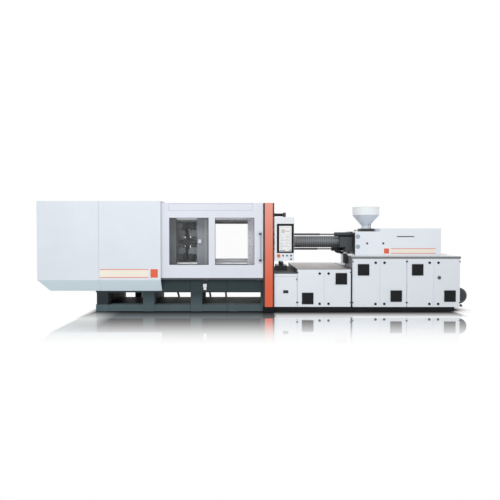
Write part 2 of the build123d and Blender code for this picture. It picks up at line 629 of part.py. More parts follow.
# Door frames: a top rail on a post, and a bottom rail on brackets from the base
RAIL_FRONT_Y = DOOR_FRONT - DOOR_T - RAIL_GAP
TRACK_Y = (DOOR_FRONT - 50.0, DOOR_FRONT - 10.0)
TRACK_TOP = DOOR_BOTTOM - SLIDE_GAP
TRACK_H = 36.0
BRACKET_T = 14.0
BRACKET_W = 60.0
RAIL_LEFT = DOOR_LEFT - DOOR_TRAVEL - 40
POST_X = COVER_RIGHT - 60
BRACKET_X = (BASE_LEFT + 40, POST_X, WINDOWS_MIDDLE - 150, DOOR_RIGHT - 120)
with BuildPart() as door_frames:
    for side in SIDES:
        rail_y = (side * (RAIL_FRONT_Y - RAIL_T), side * RAIL_FRONT_Y)
        block((RAIL_LEFT, PILLAR_LEFT - PILLAR_TRIM_L), rail_y, (RAIL_TOP - RAIL_H, RAIL_TOP))
        block((POST_X, POST_X + RAIL_T), rail_y, (BASE_TOP, RAIL_TOP - RAIL_H))
        block((BASE_LEFT, BASE_LEFT + RAIL_T), rail_y, (BASE_TOP, RAIL_TOP - RAIL_H))
        track_y = (side * TRACK_Y[0], side * TRACK_Y[1])
        block((RAIL_LEFT, PILLAR_LEFT - PILLAR_TRIM_L), track_y, (TRACK_TOP - TRACK_H, TRACK_TOP))
        for bracket_x in BRACKET_X:
            bracket_z = (TRACK_TOP - TRACK_H - BRACKET_T, TRACK_TOP - TRACK_H)
            bracket = (bracket_x, bracket_x + BRACKET_W)
            block(bracket, (side * BASE_HALF, side * TRACK_Y[1]), bracket_z)
save(door_frames, "door_frames")


def door_bar(side):
    """A long round handle on two blocks, on a door's outer face."""
    handle_y = side * (DOOR_FRONT + HANDLE_OUT)
    rod_z(HANDLE_X, handle_y, (HANDLE_BOTTOM, HANDLE_TOP), HANDLE_R)
    for end_z in (HANDLE_BOTTOM, HANDLE_TOP - HANDLE_BLOCK):
        block_x = (HANDLE_X - HANDLE_BLOCK, HANDLE_X + HANDLE_BLOCK / 2)
        block_y = (handle_y + side * (HANDLE_R + HANDLE_CAP), side * DOOR_FRONT)
        block(block_x, block_y, (end_z, end_z + HANDLE_BLOCK))


# Sliding doors
def door_leaf(side, windows):
    """Folded sheet leaf with window cut-outs, open behind, for one side of the mould area."""
    skin = (side * (DOOR_FRONT - SHEET), side * DOOR_FRONT)
    whole = (side * (DOOR_FRONT - DOOR_T), side * DOOR_FRONT)
    hollow = (side * (DOOR_FRONT - DOOR_T), side * (DOOR_FRONT - SHEET))
    with BuildPart() as leaf:
        block((DOOR_LEFT, DOOR_RIGHT), whole, (DOOR_BOTTOM, DOOR_TOP))
        inner_x = (DOOR_LEFT + DOOR_EDGE, DOOR_RIGHT - DOOR_EDGE)
        inner_z = (DOOR_BOTTOM + DOOR_EDGE, DOOR_TOP - DOOR_EDGE)
        block(inner_x, hollow, inner_z, Mode.SUBTRACT)
        for window in windows:
            ring_x = (window[0] - DOOR_EDGE, window[1] + DOOR_EDGE)
            block(ring_x, hollow, (WINDOW_BOTTOM - DOOR_EDGE, WINDOW_TOP + DOOR_EDGE))
            rebate_x = (window[0] - PANE_LAP, window[1] + PANE_LAP)
            block(rebate_x, hollow, (WINDOW_BOTTOM - PANE_LAP, WINDOW_TOP + PANE_LAP), Mode.SUBTRACT)
            block(window, skin, (WINDOW_BOTTOM, WINDOW_TOP), Mode.SUBTRACT)
        field_y = (side * (DOOR_FRONT - FIELD_DEPTH), side * DOOR_FRONT)
        block((FIELD[0], FIELD[1]), field_y, (FIELD[2], FIELD[3]), Mode.SUBTRACT)
        if side > 0:
            door_bar(side)
    return leaf


def door_panes(side, windows, name):
    """Clear panes seated behind the door's skin."""
    pane_y = (side * (DOOR_FRONT - SHEET - PANE_T), side * (DOOR_FRONT - SHEET))
    lap = PANE_LAP - SLIDE_GAP
    with BuildPart() as panes:
        for window in windows:
            block((window[0] - lap, window[1] + lap), pane_y, (WINDOW_BOTTOM - lap, WINDOW_TOP + lap))
    save(panes, name)


save(door_leaf(-1, FRONT_WINDOWS), "front_door")
door_panes(-1, FRONT_WINDOWS, "front_windows")
save(door_leaf(1, REAR_WINDOWS), "rear_door")
door_panes(1, REAR_WINDOWS, "rear_windows")

with BuildPart() as door_handle:
    door_bar(-1)
save(door_handle, "door_handle")

# Pillars beside the doors, each with a door seal strip and a trim strip
ARM_DROP = 197.0         # pillar's top to the panel's arm
ARM_H = 80.0
ARM_PIVOT_Z = (PILLAR_TOP - ARM_DROP - ARM_H, PILLAR_TOP - ARM_DROP)
PANEL_X = BASE_RIGHT + 203.0
PANEL_PIVOT_R = 18.0
ARM_T = 40.0
with BuildPart() as pillars:
    for side in SIDES:
        with BuildSketch(Plane.XY.offset(PILLAR_BOTTOM)):
            panel((PILLAR_LEFT, PILLAR_RIGHT), (side * BASE_HALF, side * COVER_HALF))
            front_corners = vertices().group_by(Axis.Y)[0 if side < 0 else -1]
            fillet(front_corners, PILLAR_CORNER)
            trim_y = (side * BASE_HALF, side * (COVER_HALF - TRIM_SETBACK - PILLAR_CORNER))
            panel((PILLAR_LEFT - PILLAR_TRIM_L, PILLAR_LEFT), trim_y)
            panel((PILLAR_RIGHT, PILLAR_RIGHT + PILLAR_TRIM_R), trim_y)
        extrude(amount=PILLAR_TOP - PILLAR_BOTTOM)
save(pillars, "pillars")

# Injection base, cabinets and bed
PLINTH_TOP = 105.0
PLINTH_WALL = 90.0
CARCASS_WALL = 10.0
POST_W = 24.0
POST_D = 40.0
LOW_LEFT = BASE_RIGHT + 3.0
LOW_RIGHT = LOW_LEFT + 457.0
MID_LEFT = LOW_RIGHT + 16.0
MID_SEAM = MID_LEFT + 533.0
MID_RIGHT = MID_SEAM + 543.0
DRIVE_LEFT = MID_RIGHT + 44.0
DRIVE_SEAMS = (DRIVE_LEFT + 558.0, DRIVE_LEFT + 1103.0, DRIVE_LEFT + 1653.0)
DRIVE_RIGHT = DRIVE_SEAMS[2] + 537.0
PLINTH_RIGHT = DRIVE_RIGHT - 110.0
BED_DROP = 327.0         # axis to the right cabinet's top
MID_DROP = 214.0         # right cabinet's top to the middle one's
LOW_DROP = 87.0          # middle cabinet's top to the low one's
DRIVE_TOP = AXIS_Z - BED_DROP
MID_TOP = DRIVE_TOP - MID_DROP
LOW_TOP = MID_TOP - LOW_DROP
LOW_LEDGE = 54.0
VALVE_X = (LOW_LEFT + 87.0, LOW_LEFT + 328.0)   # hydraulic valves on the low cabinet
VALVE_HALF = 250.0
VALVE_BLOCK_H = 110.0
VALVES = 4
VALVE_R = 42.0
VALVE_H = 74.0
LEDGE_LAP = 5.0           # of the ledge onto the next cabinet's wall
HINGE_INSET = 8.0
HINGE_R = 6.0
HINGE_PIN_R = 3.0
KNUCKLE_L = 34.0
HINGE_FROM_END = 90.0
CAB_DOOR_T = 20.0
CAB_DOOR_SKIN = 3.0
CAB_DOOR_EDGE = 16.0
CAB_DOOR_SLIT = 1.5      # between a door's edge and the seam
LATCH_R = 20.0
LATCH_OUT = 8.0
LATCH_IN = 88.0
LATCH_LOW = 62.0         # above a door's lower edge
LATCH_HIGH = 80.0        # below its upper edge
VENT_SIZE = 228.0
VENT_FRAME = 12.0
VENT_SLOTS = 8
VENT_OUT = 3.0
REAR_SLOTS = 5           # cooling slots in the right cabinet's back
REAR_SLOTS_Z = DRIVE_TOP - 378.0
REAR_SLOT_PITCH = 40.0
REAR_SLOT_W = 260.0
REAR_SLOT_H = 14.0
TREAD_T = 8.0
BED_T = 46.0
BED_OVERHANG = 24.0
BED_WAY_Y = (250.0, 350.0)
BED_WAY_T = 26.0
BED_WAY_INSET = 15.0
NOTCH_RIGHT = DRIVE_LEFT + 160.0   # the bed and cabinet are notched at their left end
NOTCH_FRONT = -216.0
MOTOR_X = DRIVE_RIGHT + 17.0
MOTOR_Z = PLINTH_TOP + 211.0
MOTOR_R = 161.0
MOTOR_L = 530.0
MOTOR_Y = (20.0 - DRIVE_FRONT, 20.0 - DRIVE_FRONT + MOTOR_L)
MOTOR_PLATE_T = 18.0

CAB_BOTTOM = PLINTH_TOP
CAB_DOOR_BOTTOM = CAB_BOTTOM + 4
BED_TOP = DRIVE_TOP + BED_T

# Foot pads under both bases
PAD_T = FOOT_T
PAD_L = 200.0
with BuildPart() as levelling_feet:
    base_feet = [left + COLUMN_W / 2 for left in COLUMN_LEFT] + [FOOT_LEFT + COLUMN_W / 2]
    for foot_x in base_feet + [BASE_RIGHT - PAD_L / 2 - 10]:
        pad_x = (foot_x - PAD_L / 2, foot_x + PAD_L / 2)
        block(pad_x, (-BASE_HALF - 5, -BASE_HALF + SILL_W), (0, PAD_T))
    for web_x in list(COLUMN_LEFT) + [BASE_RIGHT - WEB_T]:
        block((web_x, web_x + WEB_T), (BASE_HALF - SILL_W, BASE_HALF), (0, PAD_T))
    for foot_x in (LOW_LEFT + 160, MID_SEAM, DRIVE_LEFT + 160, DRIVE_SEAMS[1], PLINTH_RIGHT - 160):
        front = SERVICE_FRONT if foot_x < MID_RIGHT else DRIVE_FRONT
        pad_x = (foot_x - PAD_L / 2, foot_x + PAD_L / 2)
        block(pad_x, (-front + 5, -front + PLINTH_WALL), (0, PAD_T))
        block(pad_x, (INJECTION_REAR - PLINTH_WALL, INJECTION_REAR - 5), (0, PAD_T))
save(levelling_feet, "levelling_feet")

# Plinth frame under the cabinets, with a shelf for the pump motor
MOTOR_FOOT_Y = (MOTOR_Y[0] + 60, MOTOR_Y[1] - 20)
MOTOR_FOOT_X = (MOTOR_X - 150, MOTOR_X + 72)
with BuildPart() as injection_base:
    with BuildSketch(Plane.XY.offset(FOOT_T)):
        panel((BASE_RIGHT, MID_RIGHT + 30), (-SERVICE_FRONT, INJECTION_REAR))
        panel((MID_RIGHT, PLINTH_RIGHT), (-DRIVE_FRONT, INJECTION_REAR))
        hole_y = (-DRIVE_FRONT + PLINTH_WALL, INJECTION_REAR - PLINTH_WALL)
        for hole_x in ((BASE_RIGHT, MID_SEAM), (MID_SEAM, DRIVE_LEFT), (DRIVE_LEFT, DRIVE_SEAMS[1])):
            panel((hole_x[0] + PLINTH_WALL, hole_x[1]), hole_y, Mode.SUBTRACT)
        panel((DRIVE_SEAMS[1] + PLINTH_WALL, PLINTH_RIGHT - PLINTH_WALL), hole_y, Mode.SUBTRACT)
    extrude(amount=PLINTH_TOP - FOOT_T)
    shelf_x = (PLINTH_RIGHT, MOTOR_FOOT_X[1] + 10)
    block(shelf_x, (MOTOR_FOOT_Y[0] - 10, MOTOR_FOOT_Y[1] + 10), (PLINTH_TOP - MOTOR_PLATE_T, PLINTH_TOP))
save(injection_base, "injection_base")


def hinge_heights(bottom, top):
    """Bottoms of a door's two hinge knuckles."""
    return (bottom + HINGE_FROM_END - KNUCKLE_L, top - HINGE_FROM_END)


def hinge_y(front):
    """Hinge axis, half a knuckle in front of a door's face."""
    return -(front + DOOR_GAP + CAB_DOOR_T + HINGE_R / 2)


def fixed_hinges(front, hinge_x, outward, bottom, top):
    """Carcass side of a door's hinges: knuckle, pin and the tab back to the carcass."""
    axis_y = hinge_y(front)
    for height in hinge_heights(bottom, top):
        upper = height + KNUCKLE_L + SLIDE_GAP
        rod_z(hinge_x, axis_y, (upper, upper + KNUCKLE_L), HINGE_R)
        rod_z(hinge_x, axis_y, (height + 2, upper + 2), HINGE_PIN_R)
        tab_x = (hinge_x + outward * HINGE_R / 3, hinge_x + outward * (HINGE_R - 1))
        block(tab_x, (axis_y, -front), (upper, upper + KNUCKLE_L))


def vent_slots(centre, face_y):
    """Louvred grille: a raised frame with level slots, cut through the door's skin."""
    x, z = centre
    half = VENT_SIZE / 2
    block((x - half, x + half), (face_y - VENT_OUT, face_y + CAB_DOOR_SKIN), (z - half, z + half))
    pitch = (VENT_SIZE - 2 * VENT_FRAME) / VENT_SLOTS
    with BuildSketch(Plane.XZ.offset(-face_y + VENT_OUT)) as slots:
        with Locations((x, z)):
            with GridLocations(0, pitch, 1, VENT_SLOTS):
                Rectangle(VENT_SIZE - 2 * VENT_FRAME, pitch / 2)
    extrude(slots.sketch, amount=-(VENT_OUT + CAB_DOOR_SKIN), mode=Mode.SUBTRACT)


def cabinet_door(front, hinge_x, free_x, bottom, top, vent=None, latched=True):
    """Hinged sheet door with folded edges, knuckles, latches and a vent grille."""
    toward_free = 1 if free_x > hinge_x else -1
    rear_y = -(front + DOOR_GAP)
    face_y = rear_y - CAB_DOOR_T
    axis_y = hinge_y(front)
    with BuildPart() as door:
        block((hinge_x, free_x), (face_y, rear_y), (bottom, top))
        inner_x = (hinge_x + toward_free * CAB_DOOR_EDGE, free_x - toward_free * CAB_DOOR_EDGE)
        inner_z = (bottom + CAB_DOOR_EDGE, top - CAB_DOOR_EDGE)
        block(inner_x, (face_y + CAB_DOOR_SKIN, rear_y), inner_z, Mode.SUBTRACT)
        if vent:
            vent_slots(vent, face_y)
        if latched:
            for latch_z in (bottom + LATCH_LOW, top - LATCH_HIGH):
                latch_x = free_x - toward_free * LATCH_IN
                rod_y(latch_x, (face_y - LATCH_OUT, face_y + CAB_DOOR_SKIN), latch_z, LATCH_R)
        for height in hinge_heights(bottom, top):
            upper = height + KNUCKLE_L
            rod_z(hinge_x, axis_y, (upper, upper + KNUCKLE_L + 2 * SLIDE_GAP), HINGE_R + 1, Mode.SUBTRACT)
            rod_z(hinge_x, axis_y, (height, upper), HINGE_R)
            rod_z(hinge_x, axis_y, (height, upper), HINGE_PIN_R + RUNNING_FIT, Mode.SUBTRACT)
    return door


# Low and middle cabinets: one folded carcass, stepped where the tread plate starts
LOW_DOOR = (CAB_DOOR_BOTTOM, LOW_TOP - LOW_LEDGE - 3)
MID_DOOR = (CAB_DOOR_BOTTOM, MID_TOP - 2)
MID_HINGES = (MID_LEFT, MID_RIGHT - HINGE_INSET)
with BuildPart() as service_cabinet:
    with BuildSketch(Plane.XZ.offset(SERVICE_FRONT)):
        panel((LOW_LEFT, MID_LEFT), (CAB_BOTTOM, LOW_TOP))
        panel((LOW_RIGHT, MID_RIGHT), (CAB_BOTTOM, MID_TOP))
    extrude(amount=-(SERVICE_FRONT + INJECTION_REAR))
    depth = (-SERVICE_FRONT, INJECTION_REAR - CARCASS_WALL)
    floor_z = CAB_BOTTOM + CARCASS_WALL
    block((LOW_LEFT + CARCASS_WALL, LOW_RIGHT), depth, (floor_z, LOW_TOP - CARCASS_WALL), Mode.SUBTRACT)
    mid_room_x = (MID_LEFT, MID_RIGHT - CARCASS_WALL)
    block(mid_room_x, depth, (floor_z, MID_TOP - CARCASS_WALL), Mode.SUBTRACT)
    post_x = (MID_SEAM - POST_W / 2, MID_SEAM + POST_W / 2)
    block(post_x, (-SERVICE_FRONT, -SERVICE_FRONT + POST_D), (CAB_BOTTOM, MID_TOP))
    ledge_y = (-SERVICE_FRONT - DOOR_GAP - CAB_DOOR_T, -SERVICE_FRONT)
    block((LOW_LEFT, LOW_RIGHT + LEDGE_LAP), ledge_y, (LOW_TOP - LOW_LEDGE, LOW_TOP))
    block(VALVE_X, (-VALVE_HALF, VALVE_HALF), (LOW_TOP, LOW_TOP + VALVE_BLOCK_H))
    for valve in range(VALVES):
        valve_y = VALVE_HALF * ((2 * valve + 1) / VALVES - 1)
        valve_z = (LOW_TOP + VALVE_BLOCK_H, LOW_TOP + VALVE_BLOCK_H + VALVE_H)
        rod_z((VALVE_X[0] + VALVE_X[1]) / 2, valve_y, valve_z, VALVE_R)
    fixed_hinges(SERVICE_FRONT, LOW_RIGHT, 1, *LOW_DOOR)
    fixed_hinges(SERVICE_FRONT, MID_HINGES[0], -1, *MID_DOOR)
    fixed_hinges(SERVICE_FRONT, MID_HINGES[1], 1, *MID_DOOR)
save(service_cabinet, "service_cabinet")

# Low door with a flush pull
PULL = (LOW_LEFT + 179.0, LOW_LEFT + 284.0, CAB_BOTTOM + 279.0, CAB_BOTTOM + 339.0)
PULL_LIP = 3.0
PULL_RIM = 8.0
PULL_SCOOP = 14.0
low_door = cabinet_door(
    SERVICE_FRONT, LOW_RIGHT, LOW_LEFT + CAB_DOOR_SLIT, *LOW_DOOR, latched=False
)
with BuildPart() as low_door_pulled:
    add(low_door.part)
    low_face_y = -(SERVICE_FRONT + DOOR_GAP + CAB_DOOR_T)
    pull_y = (low_face_y - PULL_LIP, low_face_y + PULL_SCOOP)
    block((PULL[0], PULL[1]), (pull_y[0], pull_y[1] + CAB_DOOR_SKIN), (PULL[2], PULL[3]))
    scoop_x = (PULL[0] + PULL_RIM, PULL[1] - PULL_RIM)
    scoop_z = (PULL[2] + PULL_RIM, PULL[3] - PULL_RIM)
    block(scoop_x, pull_y, scoop_z, Mode.SUBTRACT)
save(low_door_pulled, "low_door")

left_free = MID_SEAM - CAB_DOOR_SLIT
right_free = MID_SEAM + CAB_DOOR_SLIT
left_vent = (MID_LEFT + 202.0, MID_DOOR[0] + 170.0)
mid_left_door = cabinet_door(
    SERVICE_FRONT, MID_HINGES[0], left_free, *MID_DOOR, vent=left_vent
)
save(mid_left_door, "mid_left_door")
right_vent = (MID_RIGHT - 197.0, MID_DOOR[1] - 185.0)
mid_right_door = cabinet_door(
    SERVICE_FRONT, MID_HINGES[1], right_free, *MID_DOOR, vent=right_vent
)
save(mid_right_door, "mid_right_door")

# Right cabinet: carcass with a hinge post in the middle and a cut-out for the motor
DRIVE_DOOR = (CAB_BOTTOM - 9, DRIVE_TOP - 2)
DRIVE_HINGES = (
    DRIVE_LEFT + HINGE_INSET,
    DRIVE_SEAMS[1] - HINGE_INSET,
    DRIVE_SEAMS[1] + HINGE_INSET,
    DRIVE_RIGHT - HINGE_INSET,
)
MOTOR_CLEAR = 12.0
with BuildPart() as drive_cabinet:
    block((DRIVE_LEFT, DRIVE_RIGHT), (-DRIVE_FRONT, INJECTION_REAR), (CAB_BOTTOM, DRIVE_TOP))
    room_x = (DRIVE_LEFT + CARCASS_WALL, DRIVE_RIGHT - CARCASS_WALL)
    room_z = (CAB_BOTTOM + CARCASS_WALL, DRIVE_TOP - CARCASS_WALL)
    block(room_x, (-DRIVE_FRONT, INJECTION_REAR - CARCASS_WALL), room_z, Mode.SUBTRACT)
    notch_floor = MID_TOP + TREAD_T
    lining_x = (DRIVE_LEFT, NOTCH_RIGHT + CARCASS_WALL)
    lining_y = (NOTCH_FRONT - CARCASS_WALL, INJECTION_REAR)
    block(lining_x, lining_y, (notch_floor - CARCASS_WALL, DRIVE_TOP))
    notch_y = (NOTCH_FRONT, INJECTION_REAR)
    block((DRIVE_LEFT, NOTCH_RIGHT), notch_y, (notch_floor, DRIVE_TOP), Mode.SUBTRACT)
    for seam_x in DRIVE_SEAMS:
        post_x = (seam_x - POST_W / 2, seam_x + POST_W / 2)
        block(post_x, (-DRIVE_FRONT, -DRIVE_FRONT + POST_D), (CAB_BOTTOM, DRIVE_TOP))
    motor_room_y = (-DRIVE_FRONT + 2, MOTOR_Y[1] + MOTOR_CLEAR)
    motor_room_z = (CAB_BOTTOM + CARCASS_WALL, MOTOR_Z + MOTOR_R + MOTOR_CLEAR)
    wall_x = (DRIVE_RIGHT - CARCASS_WALL, DRIVE_RIGHT)
    block(wall_x, motor_room_y, motor_room_z, Mode.SUBTRACT)
    motor_foot_room = (MOTOR_FOOT_X[0] - MOTOR_CLEAR, DRIVE_RIGHT)
    block(motor_foot_room, motor_room_y, (CAB_BOTTOM, CAB_BOTTOM + CARCASS_WALL), Mode.SUBTRACT)
    for hinge_x, outward in zip(DRIVE_HINGES, (-1, 1, -1, 1)):
        fixed_hinges(DRIVE_FRONT, hinge_x, outward, *DRIVE_DOOR)
    with BuildSketch(Plane.XZ.offset(-INJECTION_REAR)) as rear_slots:
        for slots_x in DRIVE_SEAMS:
            with Locations((slots_x, REAR_SLOTS_Z)):
                with GridLocations(0, REAR_SLOT_PITCH, 1, REAR_SLOTS):
                    Rectangle(REAR_SLOT_W, REAR_SLOT_H)
    extrude(rear_slots.sketch, amount=CARCASS_WALL, mode=Mode.SUBTRACT)
save(drive_cabinet, "drive_cabinet")

HIGH_VENT_Z = DRIVE_DOOR[1] - 223.0
LOW_VENT_Z = DRIVE_DOOR[0] + 222.0
DRIVE_DOORS = (
    ("drive_door_1", DRIVE_HINGES[0], DRIVE_SEAMS[0] - CAB_DOOR_SLIT, (DRIVE_HINGES[0] + 214.0, HIGH_VENT_Z)),
    ("drive_door_2", DRIVE_HINGES[1], DRIVE_SEAMS[0] + CAB_DOOR_SLIT, (DRIVE_HINGES[1] - 207.0, LOW_VENT_Z)),
    ("drive_door_3", DRIVE_HINGES[2], DRIVE_SEAMS[2] - CAB_DOOR_SLIT, (DRIVE_HINGES[2] + 209.0, HIGH_VENT_Z)),
    ("drive_door_4", DRIVE_HINGES[3], DRIVE_SEAMS[2] + CAB_DOOR_SLIT, (DRIVE_HINGES[3] - 202.0, LOW_VENT_Z)),
)
for door_name, hinge_x, free_x, vent_centre in DRIVE_DOORS:
    drive_door = cabinet_door(DRIVE_FRONT, hinge_x, free_x, *DRIVE_DOOR, vent=vent_centre)
    save(drive_door, door_name)

with BuildPart() as tread_plate:
    tread_front = SERVICE_FRONT + DOOR_GAP + CAB_DOOR_T
    block((LOW_RIGHT, MID_RIGHT), (-tread_front, INJECTION_REAR), (MID_TOP, MID_TOP + TREAD_T))
save(tread_plate, "tread_plate")

with BuildPart() as bed_plate:
    bed_x = (DRIVE_LEFT - 5, DRIVE_RIGHT + 8)
    bed_y = (-DRIVE_FRONT - BED_OVERHANG, INJECTION_REAR + BED_OVERHANG)
    block(bed_x, bed_y, (DRIVE_TOP, BED_TOP))
    block((bed_x[0], NOTCH_RIGHT), (NOTCH_FRONT, bed_y[1]), (DRIVE_TOP, BED_TOP), Mode.SUBTRACT)
    for side, way_left in ((-1, DRIVE_LEFT), (1, NOTCH_RIGHT)):
        way_y = (side * BED_WAY_Y[0], side * BED_WAY_Y[1])
        way_x = (way_left + BED_WAY_INSET, DRIVE_RIGHT)
        block(way_x, way_y, (BED_TOP, BED_TOP + BED_WAY_T))
save(bed_plate, "bed_plate")

# Pump motor, lying across the machine at the right end
with BuildPart() as pump_motor:
    with BuildSketch(Plane.YZ.offset(MOTOR_X)):
        with BuildLine():
            front, rear = MOTOR_Y
            Polyline(
                (front, MOTOR_Z),
                (front, MOTOR_Z + MOTOR_R - 40),
                (front + 40, MOTOR_Z + MOTOR_R),
                (front + 170, MOTOR_Z + MOTOR_R),
                (front + 170, MOTOR_Z + MOTOR_R - 18),
                (rear - 30, MOTOR_Z + MOTOR_R - 18),
                (rear, MOTOR_Z + MOTOR_R - 60),
                (rear, MOTOR_Z),
                close=True,
            )
        make_face()
    revolve(axis=Axis((MOTOR_X, 0, MOTOR_Z), (0, 1, 0)))
    block(MOTOR_FOOT_X, MOTOR_FOOT_Y, (PLINTH_TOP, PLINTH_TOP + 26))
    for foot_y in (MOTOR_FOOT_Y[0] + 130, MOTOR_FOOT_Y[1] - 60):
        web = (MOTOR_X - 90, MOTOR_X + 50)
        block(web, (foot_y, foot_y + 30), (PLINTH_TOP + 26, MOTOR_Z - 100))
save(pump_motor, "pump_motor")

# Control panel on its arm
PANEL_W = 390.0
PANEL_BOTTOM = LOW_TOP + 265.0
PANEL_TOP = ARM_PIVOT_Z[0] - 10.0
PANEL_T = 90.0
PANEL_CORNER = 14.0
SCREEN_X = (PANEL_X - 145.0, PANEL_X + 181.0)
SCREEN_Z = (PANEL_BOTTOM + 161.0, PANEL_TOP - 134.0)
SCREEN_OUT = 3.0
SCREEN_IN = 12.0
KEY_ROW_Z = PANEL_BOTTOM + 104.0
KEY_LOW_Z = PANEL_BOTTOM + 36.0
KEY_X = (PANEL_X - 116.0, PANEL_X - 24.0, PANEL_X + 52.0, PANEL_X + 133.0)
KEY_R = 17.0
KEY_OUT = 10.0
KEY_DEPTH = 30.0
KEY_CLEAR = 0.3
KEY_TRAVEL = 5.0
STOP_HEAD_R = 30.0
STOP_HEAD_T = 22.0
STOP_TRAVEL = 6.0
PIVOT_HEAD_R = 26.0
PIVOT_HEAD_T = 10.0
ARM_R = 32.0
ARM_BACK = 20.0
ARM_INSET = 14.0
PANEL_FACE_Y = PANEL_Y - PANEL_T / 2

with BuildPart() as panel_arm:
    arm_z = ARM_PIVOT_Z
    plate_x = (PILLAR_RIGHT + PILLAR_TRIM_R, PILLAR_RIGHT + PILLAR_TRIM_R + 12)
    block(plate_x, (-COVER_HALF + 34, -BASE_HALF - 10), arm_z)
    beam_y = (PANEL_Y + ARM_BACK, PANEL_Y + ARM_BACK + ARM_T)
    beam_z = (arm_z[0] + ARM_INSET, arm_z[1] - ARM_INSET)
    block((plate_x[1], PANEL_X), beam_y, beam_z)
    rod_z(PANEL_X, PANEL_Y, arm_z, ARM_R)
    block((PANEL_X - ARM_T / 2, PANEL_X + ARM_T / 2), (PANEL_Y, beam_y[1]), beam_z)
    rod_z(PANEL_X, PANEL_Y, arm_z, PANEL_PIVOT_R + RUNNING_FIT, Mode.SUBTRACT)
save(panel_arm, "panel_arm")

with BuildPart() as control_panel:
    with BuildSketch(Plane.XY.offset(PANEL_BOTTOM)):
        with Locations((PANEL_X, PANEL_Y)):
            RectangleRounded(PANEL_W, PANEL_T, PANEL_CORNER)
    extrude(amount=PANEL_TOP - PANEL_BOTTOM)
    block(SCREEN_X, (PANEL_FACE_Y, PANEL_FACE_Y + SCREEN_IN), SCREEN_Z, Mode.SUBTRACT)
    rod_z(PANEL_X, PANEL_Y, (PANEL_TOP, ARM_PIVOT_Z[1] + SLIDE_GAP), PANEL_PIVOT_R)
    head_z = ARM_PIVOT_Z[1] + SLIDE_GAP
    rod_z(PANEL_X, PANEL_Y, (head_z, head_z + PIVOT_HEAD_T), PIVOT_HEAD_R)
    key_y = (PANEL_FACE_Y, PANEL_FACE_Y + KEY_DEPTH)
    stop_stem_r = KEY_R - 3
    rod_y(KEY_X[0], key_y, KEY_ROW_Z, stop_stem_r + KEY_CLEAR, Mode.SUBTRACT)
    for key_x in KEY_X[1:]:
        rod_y(key_x, key_y, KEY_ROW_Z, KEY_R + KEY_CLEAR, Mode.SUBTRACT)
    rod_y(KEY_X[3], key_y, KEY_LOW_Z, KEY_R + KEY_CLEAR, Mode.SUBTRACT)
save(control_panel, "control_panel")

with BuildPart() as panel_screen:
    block(SCREEN_X, (PANEL_FACE_Y - SCREEN_OUT, PANEL_FACE_Y + SCREEN_IN), SCREEN_Z)
    chamfer(faces().sort_by(Axis.Y)[0].edges(), SCREEN_OUT - 1)
save(panel_screen, "panel_screen")

KEY_FOOT_Y = PANEL_FACE_Y + KEY_DEPTH - KEY_TRAVEL - 3
with BuildPart() as stop_button:
    head_y = PANEL_FACE_Y - STOP_TRAVEL - 4
    rod_y(KEY_X[0], (head_y, KEY_FOOT_Y - 1), KEY_ROW_Z, stop_stem_r)
    rod_y(KEY_X[0], (head_y - STOP_HEAD_T, head_y), KEY_ROW_Z, STOP_HEAD_R)
    chamfer(faces().sort_by(Axis.Y)[0].edges(), STOP_HEAD_T / 3)
save(stop_button, "stop_button")

PUSH_KEYS = (
    ("start_button", KEY_X[1], KEY_ROW_Z),
    ("motor_button", KEY_X[2], KEY_ROW_Z),
    ("heat_button", KEY_X[3], KEY_ROW_Z),
    ("reset_button", KEY_X[3], KEY_LOW_Z),
)
for key_name, key_x, key_z in PUSH_KEYS:
    with BuildPart() as push_button:
        rod_y(key_x, (PANEL_FACE_Y - KEY_OUT, KEY_FOOT_Y), key_z, KEY_R)
        chamfer(faces().sort_by(Axis.Y)[0].edges(), 2)
    save(push_button, key_name)

# Injection unit
NOZZLE_TIP_X = MOULD_FACE_X + 31.0
NOZZLE_BACK_X = MOULD_FACE_X + 241.0
NOZZLE_TIP_R = 18.0
NOZZLE_R = 48.0
BARREL_R = 78.0
BARREL_BORE_R = 34.0
SCREW_CLEAR = 0.1
SCREW_TIP_X = NOZZLE_BACK_X + 40.0
GUARD_X = (DRIVE_LEFT - 1440.0, DRIVE_LEFT - 109.0)
GUARD_R = 125.0
GUARD_RIB = 5.0
GUARD_PITCH = 48.0
GUARD_SHEET = 5.0
THRUST_X = (GUARD_X[1], DRIVE_LEFT + 160.0)
THRUST_HALF = 130.0
THRUST_FOOT_LEFT = DRIVE_LEFT + 11.0
HOOD_INSET = 20.0
FOOT_IN_Y = 60.0
RUNNER_LAP = 10.0
FEED_X = DRIVE_LEFT + 518.0
FEED_R = 45.0
SLED_X = (DRIVE_LEFT + 175.0, DRIVE_LEFT + 1860.0)
SLED_T = 50.0
STOCK_X = (FEED_X - 188.0, FEED_X + 172.0)
STOCK_HALF = 240.0
STOCK_TOP = AXIS_Z + 155.0
REAR_STOCK_X = (SLED_X[1] - 220.0, SLED_X[1])
DRIVE_BLOCK_X = (STOCK_X[1] + 270.0, STOCK_X[1] + 710.0)
BARREL_BACK_X = STOCK_X[1] + 10.0
DRIVE_BLOCK_HALF = 230.0
SKID_W = 40.0
CARRIAGE_TRAVEL = 300.0
ROD_Y = 160.0
ROD_RISE = 167.0
ROD_THICK_R = 22.0
ROD_THIN_R = 15.0
ROD_STEP_X = GUARD_X[1] - 432.0
ROD_CYL_X = (THRUST_X[1] - 379.0, THRUST_X[1])
ROD_CYL_R = 45.0
ROD_END_IN = 40.0
HOUSING_X = (THRUST_X[1] + 7.0, DRIVE_RIGHT - 189.0)
HOUSING_STEP_X = FEED_X + 182.0
HOUSING_HALF = 450.0
HOUSING_STEP = 66.0
HOUSING_LOW = STOCK_TOP + 72.0
HOUSING_TOP = HOUSING_LOW + HOUSING_STEP
HOUSING_FOOT = BED_TOP + 3
SLEEVE_R = 190.0
CAP_X = HOUSING_X[0] + 58.0
